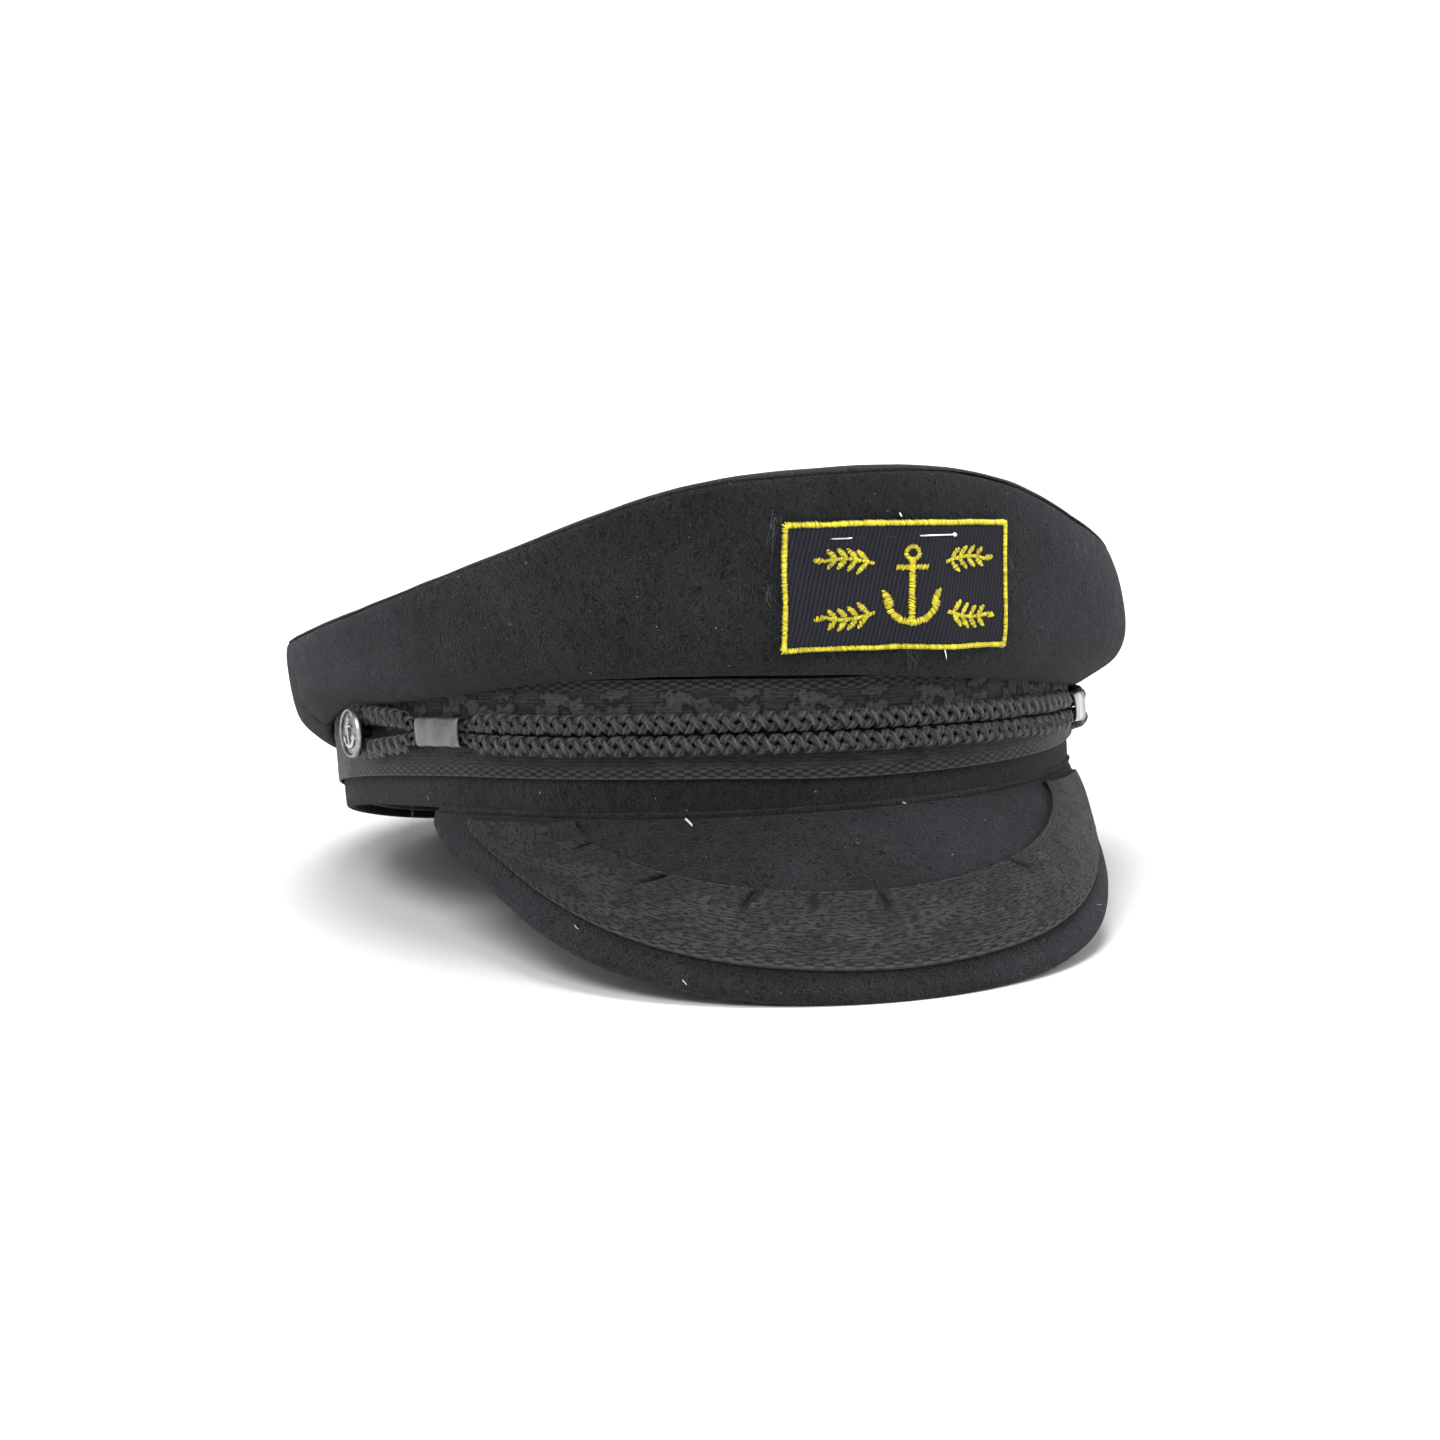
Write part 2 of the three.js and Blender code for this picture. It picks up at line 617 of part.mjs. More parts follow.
function cordHalfGap(angle) {
  const start = Math.abs(keeperAngle(angle)) + 4.5;
  const spread = THREE.MathUtils.smoothstep(Math.abs(angle), start, Math.abs(buttonAngle(angle)) - 1.5);
  const free = mix(CORD_SPACING / 2, CORD_BEND_RADIUS, spread);
  return mix(free, PINCHED_SPACING / 2, pinch(angle));
}

// Centre line of the closed cord: upper run, bend round one shank, lower run, bend round the other
function cordRoute() {
  const bends = steps(90, -90, 6).slice(1, -1);
  const run = [...steps(1 - BUTTON_RIGHT_ANGLE, -52, 14), ...steps(-48.5, 44, 25), ...steps(47, BUTTON_LEFT_ANGLE - 1, 17)];
  const route = run.map((angle) => ({ angle, height: cordLevel(angle) + cordHalfGap(angle), heading: 90 }));
  const bendAt = (side) => bends.map((turn) => {
    const heading = side > 0 ? turn : -turn;
    const sideways = side * Math.cos(radians(turn)) * CORD_BEND_RADIUS;
    const angle = buttonAngle(side) + THREE.MathUtils.radToDeg(sideways / (HEAD_LENGTH / 2));
    const height = cordLevel(buttonAngle(side)) + CORD_BEND_RADIUS * Math.sin(radians(heading));
    return { angle, height, heading };
  });
  route.push(...bendAt(1));
  [...run].reverse().forEach((angle) => {
    route.push({ angle, height: cordLevel(angle) - cordHalfGap(angle), heading: -90 });
  });
  return [...route, ...bendAt(-1)];
}

function buildCord() {
  const sides = 6;
  const route = cordRoute();
  const points = route.map(({ angle, height }) => ovalPoint(angle, CORD_OFFSET, height));
  const sections = route.map(({ angle }, i) => {
    const before = points[(i + points.length - 1) % points.length];
    const after = points[(i + 1) % points.length];
    const outward = ovalOutward(angle);
    const across = after.clone().sub(before).cross(outward).normalize();
    const halfHeight = mix(CORD_HALF_HEIGHT, PINCHED_HALF_HEIGHT, pinch(angle));
    const halfDepth = mix(CORD_HALF_DEPTH, PINCHED_HALF_DEPTH, pinch(angle));
    return steps(30, 330, sides - 1).map((turn) => points[i]
      .clone()
      .addScaledVector(outward, halfDepth * Math.sin(radians(turn)))
      .addScaledVector(across, halfHeight * Math.cos(radians(turn))));
  });
  return loft(sections, true);
}

// Sleeve that holds both runs of the cord
function buildKeeper(side) {
  const innerHeight = PINCHED_SPACING / 2 + PINCHED_HALF_HEIGHT + CLEARANCE;
  const innerDepth = PINCHED_HALF_DEPTH + CLEARANCE;
  const halfAngle = THREE.MathUtils.radToDeg(KEEPER_LENGTH / 2 / (HEAD_LENGTH / 2));
  const angles = steps(-halfAngle, halfAngle, 3).map((turn) => keeperAngle(side) + turn);
  const wallPoint = (angle, turn, wall) => {
    const squareness = 0.5;
    const reach = (value) => Math.sign(value) * Math.abs(value) ** squareness;
    const offset = CORD_OFFSET + (innerDepth + wall) * reach(Math.cos(radians(turn)));
    const height = cordLevel(angle) + (innerHeight + wall) * reach(Math.sin(radians(turn)));
    return ovalPoint(angle, offset, height);
  };
  const sections = steps(0, 337.5, 15).map((turn) => [
    ...angles.map((angle) => wallPoint(angle, turn, KEEPER_WALL)),
    ...[...angles].reverse().map((angle) => wallPoint(angle, turn, 0)),
  ]);
  return loft(sections, true);
}

// Domed button with a raised rim and a shank through the cord's bend
function buildButton(side) {
  const angle = buttonAngle(side);
  const base = ovalPoint(angle, RIBBON_OUTER + CLEARANCE, cordLevel(angle));
  const radius = BUTTON_DIAMETER / 2;
  const back = CORD_OFFSET + CORD_HALF_DEPTH + CLEARANCE - RIBBON_OUTER - CLEARANCE;
  const front = back + BUTTON_DEPTH;
  const inside = radius - BUTTON_RIM;
  return revolve(base, ovalOutward(angle), [
    [0, 0],
    [SHANK_DIAMETER / 2, 0],
    [SHANK_DIAMETER / 2, back],
    [radius * 0.86, back + BUTTON_DEPTH * 0.12],
    [radius, back + BUTTON_DEPTH * 0.5],
    [radius - BUTTON_RIM / 2, back + BUTTON_DEPTH * 0.78],
    [inside, back + BUTTON_DEPTH * 0.56],
    [inside * 0.6, front - BUTTON_DEPTH * 0.14],
    [0, front],
  ], 18);
}

// Offset of the crown's front panel at a height over the rim plane
function panelOffset(angle, height) {
  const line = crownLine(angle, 24);
  const next = Math.max(1, line.findIndex((point) => point[1] >= height));
  const [from, to] = [line[next - 1], line[next]];
  return mix(from[0], to[0], (height - from[1]) / (to[1] - from[1]));
}

// Point on the front panel at a place on the patch, raised square to the panel
function patchPoint(across, up, lift) {
  const turn = radians(PATCH_TURN);
  const along = across * Math.cos(turn) - up * Math.sin(turn);
  const height = PATCH_LEVEL + up * Math.cos(turn) + across * Math.sin(turn);
  const arcRadius = HEAD_WIDTH / 2 + panelOffset(PATCH_ANGLE, height);
  const angle = PATCH_ANGLE + THREE.MathUtils.radToDeg(along / arcRadius);
  return ovalPoint(angle, panelOffset(angle, height) + lift, height);
}

// The patch is held off the panel in a soft ridge along the slanted pin
function patchLift(across, up) {
  const ridge = (across - mix(PATCH_RIDGE_TOP, PATCH_RIDGE_FOOT, 0.5 - up / PATCH_HEIGHT)) / PATCH_RIDGE_WIDTH;
  return CLEARANCE + 0.1 + PATCH_RIDGE * Math.exp(-ridge * ridge);
}

function buildPatch() {
  const rows = steps(-PATCH_HEIGHT / 2, PATCH_HEIGHT / 2, 5);
  const sections = steps(-PATCH_WIDTH / 2, PATCH_WIDTH / 2, 18).map((across) => [
    ...rows.map((up) => patchPoint(across, up, patchLift(across, up) + PATCH_THICKNESS)),
    ...[...rows].reverse().map((up) => patchPoint(across, up, patchLift(across, up))),
  ]);
  return loft(sections, false);
}

function buildPatchBorder() {
  const halfWidth = PATCH_WIDTH / 2 - BORDER_INSET;
  const halfHeight = PATCH_HEIGHT / 2 - BORDER_INSET;
  const corners = [[-1, -1], [1, -1], [1, 1], [-1, 1]];
  const route = [];
  corners.forEach(([side, end], i) => {
    const [nextSide, nextEnd] = corners[(i + 1) % corners.length];
    const count = nextSide === side ? 6 : 16;
    steps(0, 1, count).slice(0, -1).forEach((t) => route.push([mix(side, nextSide, t), mix(end, nextEnd, t)]));
  });
  const at = (side, end, inset, lift) => {
    const across = side * (halfWidth - inset);
    const up = end * (halfHeight - inset);
    return patchPoint(across, up, patchLift(across, up) + PATCH_THICKNESS + lift);
  };
  return loft(route.map(([side, end]) => [
    at(side, end, 0, CLEARANCE),
    at(side, end, BORDER_WIDTH * 0.2, CLEARANCE + BORDER_THICKNESS),
    at(side, end, BORDER_WIDTH * 0.8, CLEARANCE + BORDER_THICKNESS),
    at(side, end, BORDER_WIDTH, CLEARANCE),
  ]), true);
}

// Pin bowed with the cloth; at gives its centre line at a share of the way from its point to its head
function buildPin(at, length) {
  const radius = PIN_DIAMETER / 2;
  const head = PIN_HEAD_DIAMETER / 2;
  const shaft = length - PIN_HEAD_LENGTH;
  const stations = [
    [0, radius * PIN_TIP],
    ...steps(PIN_TAPER, shaft, 4).map((distance) => [distance, radius]),
    [shaft + PIN_HEAD_LENGTH * 0.3, head],
    [shaft + PIN_HEAD_LENGTH * 0.7, head],
    [length, head * 0.4],
  ];
  return loft(stations.map(([distance, reach]) => {
    const share = distance / length;
    const along = at(share + 0.01).sub(at(share - 0.01)).normalize();
    const outward = at(share).setZ(0).normalize();
    const sideways = along.clone().cross(outward).normalize();
    const upward = sideways.clone().cross(along);
    return steps(0, 360 - 360 / 7, 6).map((turn) => at(share)
      .addScaledVector(upward, reach * Math.cos(radians(turn)))
      .addScaledVector(sideways, reach * Math.sin(radians(turn))));
  }), false);
}

// Height of a pin's centre line over the cloth under it, where the head props it up
function pinLift(share) {
  const headRise = (PIN_HEAD_DIAMETER - PIN_DIAMETER) / 2;
  return CLEARANCE + PIN_DIAMETER / 2 + FACET_DEPTH + headRise * share ** 4;
}

function buildTopPin() {
  return buildPin((share) => {
    const across = mix(TOP_PIN_POINT, TOP_PIN_HEAD, share);
    return patchPoint(across, TOP_PIN_UP, patchLift(across, TOP_PIN_UP) + PATCH_THICKNESS + pinLift(share));
  }, TOP_PIN_LENGTH);
}

function buildSlantedPin() {
  return buildPin((share) => {
    const across = mix(SLANTED_PIN_POINT, SLANTED_PIN_HEAD, share);
    const up = mix(-SLANTED_PIN_DOWN, SLANTED_PIN_UP, share);
    return patchPoint(across, up, FACET_DEPTH + pinLift(share));
  }, SLANTED_PIN_LENGTH);
}

// Colour, roughness and metalness of each finish
const FINISHES = {
  felt: [0x23252c, 0.95, 0],
  ribbon: [0x2a2a2b, 0.7, 0],
  lining: [0x2b2420, 0.6, 0],
  cord: [0x262625, 0.75, 0],
  sleeve: [0x8f979f, 0.25, 0],
  nickel: [0xa9abad, 0.35, 1],
  twill: [0x1a1e2c, 0.8, 0],
  thread: [0xd8d418, 0.5, 0],
  steel: [0xc4c6c8, 0.25, 1],
};

const PIECES = [
  ['crown_tip', 'felt', buildCrownTip()],
  ['crown_front_panel', 'felt', buildCrownFront()],
  ['crown_rear_panel', 'felt', buildCrownRear()],
  ['headband', 'felt', buildHeadband()],
  ['sweatband', 'lining', buildSweatband()],
  ['band_ribbon', 'ribbon', buildBandRibbon()],
  ['peak', 'felt', buildPeak()],
  ['peak_ribbon', 'ribbon', buildPeakRibbon()],
  ['cord_loop', 'cord', buildCord()],
  ['keeper_right', 'sleeve', buildKeeper(-1)],
  ['keeper_left', 'sleeve', buildKeeper(1)],
  ['button_right', 'nickel', buildButton(-1)],
  ['button_left', 'nickel', buildButton(1)],
  ['patch', 'twill', buildPatch()],
  ['patch_border', 'thread', buildPatchBorder()],
  ['pin_top', 'steel', buildTopPin()],
  ['pin_slanted', 'steel', buildSlantedPin()],
];

function lowest(geometry, tilt) {
  const turned = geometry.clone().applyMatrix4(new THREE.Matrix4().makeRotationX(tilt));
  turned.computeBoundingBox();
  return turned.boundingBox.min.z;
}

// Tilt at which the rear rim and the peak's edge reach the same level
function restTilt(band, peak) {
  let low = -Math.PI / 6;
  let high = 0;
  for (let i = 0; i < 40; i += 1) {
    const middle = (low + high) / 2;
    if (lowest(peak, middle) < lowest(band, middle)) high = middle;
    else low = middle;
  }
  return low;
}

// Turns every piece to its resting place and presses the felt flat on the surface
function layDown(pieces) {
  const geometryOf = Object.fromEntries(pieces.map(([name, , geometry]) => [name, geometry]));
  const tilt = restTilt(geometryOf.headband, geometryOf.peak);
  const drop = -lowest(geometryOf.headband, tilt) - FLATTENING;
  const matrix = new THREE.Matrix4().makeTranslation(0, 0, drop);
  matrix.multiply(new THREE.Matrix4().makeRotationX(tilt));
  const whole = new THREE.Box3();
  for (const [, , geometry] of pieces) {
    geometry.applyMatrix4(matrix);
    const place = geometry.getAttribute('position');
    for (let i = 0; i < place.count; i += 1) place.setZ(i, Math.max(0, place.getZ(i)));
    geometry.computeBoundingBox();
    whole.union(geometry.boundingBox);
  }
  const centre = whole.getCenter(new THREE.Vector3());
  for (const [, , geometry] of pieces) geometry.translate(-centre.x, -centre.y, 0);
}

layDown(PIECES);

const cap = new THREE.Group();
cap.name = 'captain_cap';
for (const [name, finish, geometry] of PIECES) {
  const [color, roughness, metalness] = FINISHES[finish];
  const mesh = new THREE.Mesh(geometry, new THREE.MeshStandardMaterial({ color, roughness, metalness }));
  mesh.name = name;
  cap.add(mesh);
}

export default cap;
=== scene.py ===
"""A soft-crowned captain's cap in dark felt, with ribbons, cord, buttons and a pinned patch.

Sizes are millimetres and angles are degrees round the head: 0 at the front, +90 at the wearer's left.
Points turn to metres, and to the cap's resting place, in CapForm.rest.
"""
from __future__ import annotations

import logging
import math
from dataclasses import dataclass
from enum import Enum

import bmesh
import bpy
import numpy as np
from mathutils import Matrix, Vector, noise
from mathutils.bvhtree import BVHTree

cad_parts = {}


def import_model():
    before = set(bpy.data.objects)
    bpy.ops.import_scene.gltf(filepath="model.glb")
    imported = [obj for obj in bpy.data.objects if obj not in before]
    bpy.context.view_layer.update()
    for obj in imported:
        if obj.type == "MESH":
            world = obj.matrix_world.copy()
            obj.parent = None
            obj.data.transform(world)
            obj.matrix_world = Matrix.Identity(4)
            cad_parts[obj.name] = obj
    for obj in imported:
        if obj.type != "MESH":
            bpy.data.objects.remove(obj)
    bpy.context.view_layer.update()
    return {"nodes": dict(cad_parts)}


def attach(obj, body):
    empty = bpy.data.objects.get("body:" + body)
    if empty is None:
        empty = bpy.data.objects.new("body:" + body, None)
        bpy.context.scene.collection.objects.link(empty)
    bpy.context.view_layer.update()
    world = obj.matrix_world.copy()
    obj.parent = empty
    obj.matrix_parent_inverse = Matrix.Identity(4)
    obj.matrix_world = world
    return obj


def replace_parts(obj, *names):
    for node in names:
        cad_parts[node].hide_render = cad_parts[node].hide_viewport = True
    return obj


MM = 0.001
log = logging.getLogger("cap")


# Form of the cap


class Table:
    """Rows of named columns against an angle, read along a smooth line."""

    def __init__(self, columns: tuple[str, ...], rows: tuple[tuple[float, ...], ...]) -> None:
        """Keeps the rows, whose first column is the angle."""
        self.columns = columns
        self.rows = np.array(rows, dtype=float)

    def read(self, column: str, angle: np.ndarray, free_end: bool = False) -> np.ndarray:
        """Reads a column.

        Args:
            column: The column's name.
            angle: Angles to read at.
            free_end: Whether the line may slope at its last row.

        Returns:
            One value for each angle.
        """
        x = self.rows[:, 0]
        y = self.rows[:, 1 + self.columns.index(column)]
        last = len(x) - 1
        after = np.minimum(np.arange(1, last + 2), last)
        before = np.maximum(np.arange(-1, last), 0)
        slope = (y[after] - y[before]) / (x[after] - x[before])
        slope[0] = 0
        if not free_end:
            slope[last] = 0
        at = np.clip(angle, x[0], x[last])
        right = np.clip(np.searchsorted(x, at, side="left"), 1, last)
        left = right - 1
        span = x[right] - x[left]
        t = (at - x[left]) / span
        s = t * t * (3 - 2 * t)
        bend = t * (1 - t) ** 2 * span * slope[left] + t * t * (t - 1) * span * slope[right]
        return y[left] + (y[right] - y[left]) * s + bend


def smooth(low: float, high: float, value: np.ndarray) -> np.ndarray:
    """Returns a smooth step from 0 at low to 1 at high."""
    t = np.clip((value - low) / (high - low), 0, 1)
    return t * t * (3 - 2 * t)


def mix(a: np.ndarray, b: np.ndarray, t: np.ndarray) -> np.ndarray:
    """Returns the value a share t of the way from a to b."""
    return a + (b - a) * t


def drift(x: np.ndarray, y: np.ndarray, seed: int) -> np.ndarray:
    """Returns smooth random values from 0 to 1 over a plane, one bump for each unit square.

    Args:
        x: Places across.
        y: Places up.
        seed: Chooses the pattern.

    Returns:
        The values.
    """
    x, y = np.broadcast_arrays(x, y)
    grid = np.random.default_rng(seed).random((256, 256))
    i, j = np.floor(x).astype(int), np.floor(y).astype(int)
    u, v = smooth(0, 1, x - i), smooth(0, 1, y - j)
    low = mix(grid[i % 256, j % 256], grid[(i + 1) % 256, j % 256], u)
    high = mix(grid[i % 256, (j + 1) % 256], grid[(i + 1) % 256, (j + 1) % 256], u)
    return mix(low, high, v)


def unit(vectors: np.ndarray) -> np.ndarray:
    """Returns the vectors with length one."""
    return vectors / np.maximum(np.linalg.norm(vectors, axis=-1, keepdims=True), 1e-12)


def circle(count: int) -> np.ndarray:
    """Returns even angles round a full turn, in radians."""
    return np.arange(count) / count * math.tau


def distances(path: np.ndarray, closed: bool = False) -> np.ndarray:
    """Returns the way along a path to each of its points, and back to the first if it is closed."""
    steps = np.roll(path, -1, 0) - path if closed else np.diff(path, axis=0)
    return np.concatenate([[0], np.cumsum(np.linalg.norm(steps, axis=1))])


@dataclass(frozen=True)
class CapForm:
    """The cap's own lines, as the solids have them."""

    head_width: float = 160
    head_length: float = 202
    rear_widening: float = 0.01
    clearance: float = 0.3
    ribbon_inner: float = 4.8
    ribbon_outer: float = 5.8
    ribbon_lower: float = 7.6072
    ribbon_width: float = 21.6968
    rim_lift: float = 3.6
    peak_reach: float = 32
    peak_drop: float = 40.7
    peak_arch: float = 2.2
    peak_start: float = 3.8
    peak_half_angle: float = 66
    cord_offset: float = 7.75
    cord_level: float = 17.4936
    cord_spacing: float = 4.8
    cord_bend: float = 4
    pinched_spacing: float = 2.75
    keeper_right: float = -60.5
    keeper_left: float = 55
    button_right: float = -80
    button_left: float = 87
    tilt: float = -10.80579642594785
    drop: float = 18.9104793548584
    centre_x: float = 2.2185287475585938
    centre_y: float = -10.634918212890625

    rim = Table(("lift",), (
        (0, -1.0), (20, -0.82), (40, -0.22), (64, 0.85), (82, 1.42), (98, 1.5), (112, 1.25), (128, 0.75),
        (145, 0.2), (160, 0), (180, 0)))
    ribbon = Table(("lower",), (
        (-180, 0.85), (-90, 0.86), (-55, 1.0), (-22, 1.0), (0, 0.8), (30, 0.72), (60, 0.72), (120, 0.8),
        (180, 0.85)))
    cord = Table(("level",), (
        (-80, 0.97), (-60, 1.0), (-45, 0.99), (-20, 0.985), (0, 0.93), (20, 0.87), (36, 0.81), (55, 0.73),
        (68, 0.635), (87, 0.565)))
    peak = Table(("reach", "left_reach", "drop"), (
        (0, 1.0, 1.0, 1.0), (10, 0.975, 0.965, 0.972), (20, 0.905, 0.875, 0.904), (30, 0.765, 0.705, 0.784),
        (40, 0.56, 0.49, 0.61), (50, 0.33, 0.265, 0.405), (58, 0.185, 0.14, 0.27), (63, 0.1, 0.08, 0.185),
        (66, 0.03, 0.03, 0.085)))

    def oval(self, angle: np.ndarray, offset: np.ndarray, height: np.ndarray) -> np.ndarray:
        """Places points outside the head's oval.

        Args:
            angle: Angles round the head.
            offset: Distances out from the oval.
            height: Heights over the rim plane.

        Returns:
            Points in the cap's own frame, in millimetres.
        """
        angle, offset, height = np.broadcast_arrays(angle, offset, height)
        out = self.outward(angle)
        along, across = np.cos(np.radians(angle)), np.sin(np.radians(angle))
        half_width = self.head_width / 2 * (1 - self.rear_widening * along)
        x = half_width * across + out[..., 0] * offset
        y = -self.head_length / 2 * along + out[..., 1] * offset
        return np.stack([x, y, height], -1)

    def outward(self, angle: np.ndarray) -> np.ndarray:
        """Returns the level directions square to the oval."""
        along, across = np.cos(np.radians(angle)), np.sin(np.radians(angle))
        half_width = self.head_width / 2 * (1 - self.rear_widening * along)
        change = half_width * along + self.head_width / 2 * self.rear_widening * across ** 2
        return unit(np.stack([self.head_length / 2 * across, -change, np.zeros_like(change)], -1))

    def turn(self, vectors: np.ndarray) -> np.ndarray:
        """Returns vectors turned from the cap's own frame to its resting tilt."""
        c, s = math.cos(math.radians(self.tilt)), math.sin(math.radians(self.tilt))
        x, y, z = vectors[..., 0], vectors[..., 1], vectors[..., 2]
        return np.stack([x, y * c - z * s, y * s + z * c], -1)

    def rest(self, points: np.ndarray) -> np.ndarray:
        """Lays points down with the cap.

        Args:
            points: Points in the cap's own frame, in millimetres.

        Returns:
            The same points where the cap rests, in metres.
        """
        moved = self.turn(points) + np.array([-self.centre_x, -self.centre_y, self.drop])
        moved[..., 2] = np.maximum(moved[..., 2], 0)
        return moved * MM

    def rim_height(self, angle: np.ndarray) -> np.ndarray:
        """Returns the height of the band's rim."""
        return self.rim_lift * self.rim.read("lift", np.abs(angle))

    def ribbon_height(self, angle: np.ndarray) -> np.ndarray:
        """Returns the height of the ribbon's lower edge."""
        return self.rim_height(angle) + self.ribbon_lower * self.ribbon.read("lower", angle)

    def peak_point(self, angle: np.ndarray, share: np.ndarray) -> np.ndarray:
        """Places points on the peak's top.

        Args:
            angle: Angles round the head.
            share: Shares of the way from the band to the edge.

        Returns:
            Points in the cap's own frame, in millimetres.
        """
        angle, share = np.broadcast_arrays(angle, share)
        size = np.abs(angle)
        left = self.peak.read("left_reach", size, True)
        reach = self.peak_reach * np.where(angle > 0, left, self.peak.read("reach", size, True))
        drop = self.peak_drop * self.peak.read("drop", size, True)
        arch = self.peak_arch * 4 * share * (1 - share) * (drop / self.peak_drop)
        lean = np.arctan2(drop, reach)
        offset = self.peak_start + reach * share + arch * np.sin(lean)
        height = self.rim_height(angle) - self.clearance * 1.2 - drop * share + arch * np.cos(lean)
        return self.oval(angle, offset, height)

    def peak_square(self, angle: np.ndarray, share: np.ndarray) -> np.ndarray:
        """Returns directions square to the peak's top, pointing up."""
        a = np.clip(angle, 0.5 - self.peak_half_angle, self.peak_half_angle - 0.5)
        s = np.clip(share, 0.02, 0.98)
        small = 0.01
        round_head = self.peak_point(a + small, s) - self.peak_point(a - small, s)
        outward = self.peak_point(a, s + small) - self.peak_point(a, s - small)
        square = unit(np.cross(round_head, outward))
        return square * np.where(square[..., 2:] < 0, -1, 1)

    def keeper(self, angle: np.ndarray) -> np.ndarray:
        """Returns the angle of the keeper on the same side."""
        return np.where(np.asarray(angle) < 0, self.keeper_right, self.keeper_left)

    def button(self, angle: np.ndarray) -> np.ndarray:
        """Returns the angle of the button on the same side."""
        return np.where(np.asarray(angle) < 0, self.button_right, self.button_left)

    def cord_height(self, angle: np.ndarray) -> np.ndarray:
        """Returns the height of the middle of the cord's two runs."""
        return self.rim_height(angle) + self.cord_level * self.cord.read("level", angle)

    def pinch(self, angle: np.ndarray) -> np.ndarray:
        """Returns how far the cord is pinched: 0 free, 1 in a keeper."""
        return 1 - smooth(4.8, 8, np.abs(angle - self.keeper(angle)))

    def cord_half_gap(self, angle: np.ndarray) -> np.ndarray:
        """Returns half the distance between the cord's two runs."""
        start = np.abs(self.keeper(angle)) + 4.5
        end = np.abs(self.button(angle)) - 1.5
        t = np.clip((np.abs(angle) - start) / (end - start), 0, 1)
        free = mix(self.cord_spacing / 2, self.cord_bend, t * t * (3 - 2 * t))
        return mix(free, self.pinched_spacing / 2, self.pinch(angle))


FORM = CapForm()


# Meshes


def placed(name: str, data: bpy.types.ID) -> bpy.types.Object:
    """Returns a new object in the scene."""
    thing = bpy.data.objects.new(name, data)
    bpy.context.scene.collection.objects.link(thing)
    return thing


def new_object(name: str, mesh: bpy.types.Mesh) -> bpy.types.Object:
    """Returns a smooth-shaded object in the scene, riding with the cap."""
    mesh.shade_smooth()
    piece = placed(name, mesh)
    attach(piece, "root")
    return piece


def store(mesh: bpy.types.Mesh, values: dict[str, np.ndarray]) -> None:
    """Stores one number per point under each name."""
    for name, numbers in values.items():
        layer = mesh.attributes.new(name, "FLOAT", "POINT")
        layer.data.foreach_set("value", np.asarray(numbers, dtype=np.float32).ravel())


def loft(name: str, rings: np.ndarray, joined: bool, values: dict[str, np.ndarray]) -> bpy.types.Object:
    """Builds a closed skin through rings of points.

    Args:
        name: The piece's name.
        rings: Points as (ring, place round the ring, 3), in metres.
        joined: Whether the last ring meets the first; otherwise both ends are capped.
        values: Numbers to store, one for each point.

    Returns:
        The object.
    """
    count, around = rings.shape[:2]
    i = np.arange(count if joined else count - 1)[:, None]
    j = np.arange(around)[None, :]
    a = i * around + j
    b = (i + 1) % count * around + j
    nxt = (j + 1) % around
    c = (i + 1) % count * around + nxt
    d = i * around + nxt
    quads = np.stack(np.broadcast_arrays(a, b, c, d), -1).reshape(-1, 4)
    points = rings.reshape(-1, 3)
    corner = points[quads]
    fan = np.cross(corner[:, 1], corner[:, 2]) + np.cross(corner[:, 2], corner[:, 3])
    volume = np.sum(corner[:, 0] * fan)
    faces = quads.tolist()
    if not joined:
        faces += [list(range(around)), list(range((count - 1) * around, count * around))[::-1]]
    if volume < 0:
        faces = [face[::-1] for face in faces]
    mesh = bpy.data.meshes.new(name)
    mesh.from_pydata(points.tolist(), [], faces)
    store(mesh, values)
    return new_object(name, mesh)


def tubes(name: str, paths: np.ndarray, radii: np.ndarray, sides: int, shades: np.ndarray) -> bpy.types.Object:
    """Builds many short threads as one piece.

    Args:
        name: The piece's name.
        paths: Centre lines as (thread, station, 3), in metres.
        radii: Radii as (thread, station), in metres.
        sides: Points round each thread.
        shades: A number from 0 to 1 for each thread, stored as its shade.

    Returns:
        The object.
    """
    threads, stations = paths.shape[:2]
    along = unit(np.gradient(paths, axis=1))
    guide = np.where(np.abs(along[..., 2:]) > 0.9, np.array([1.0, 0, 0]), np.array([0, 0, 1.0]))
    sideways = unit(np.cross(along, guide))
    upward = np.cross(sideways, along)
    turn = circle(sides)
    ring = np.cos(turn)[:, None] * sideways[:, :, None] + np.sin(turn)[:, None] * upward[:, :, None]
    points = paths[:, :, None] + radii[:, :, None, None] * ring
    i = np.arange(stations - 1)[:, None]
    j = np.arange(sides)[None, :]
    nxt = (j + 1) % sides
    near, far = i * sides, (i + 1) * sides
    quads = np.stack(np.broadcast_arrays(near + j, near + nxt, far + nxt, far + j), -1).reshape(-1, 4)
    base = (np.arange(threads) * stations * sides)[:, None, None]
    faces = (quads[None] + base).reshape(-1, 4).tolist()
    first = (np.arange(sides)[::-1][None] + base[:, 0]).tolist()
    last = (np.arange(sides)[None] + (stations - 1) * sides + base[:, 0]).tolist()
    mesh = bpy.data.meshes.new(name)
    mesh.from_pydata(points.reshape(-1, 3).tolist(), [], faces + first + last)
    store(mesh, {"thread": np.repeat(shades, stations * sides)})
    return new_object(name, mesh)


def read_points(mesh: bpy.types.Mesh, part: str, name: str) -> np.ndarray:
    """Returns three numbers for each vertex of a mesh."""
    numbers = np.zeros(len(mesh.vertices) * 3, np.float32)
    getattr(mesh, part).foreach_get(name, numbers)
    return numbers.reshape(-1, 3).astype(float)


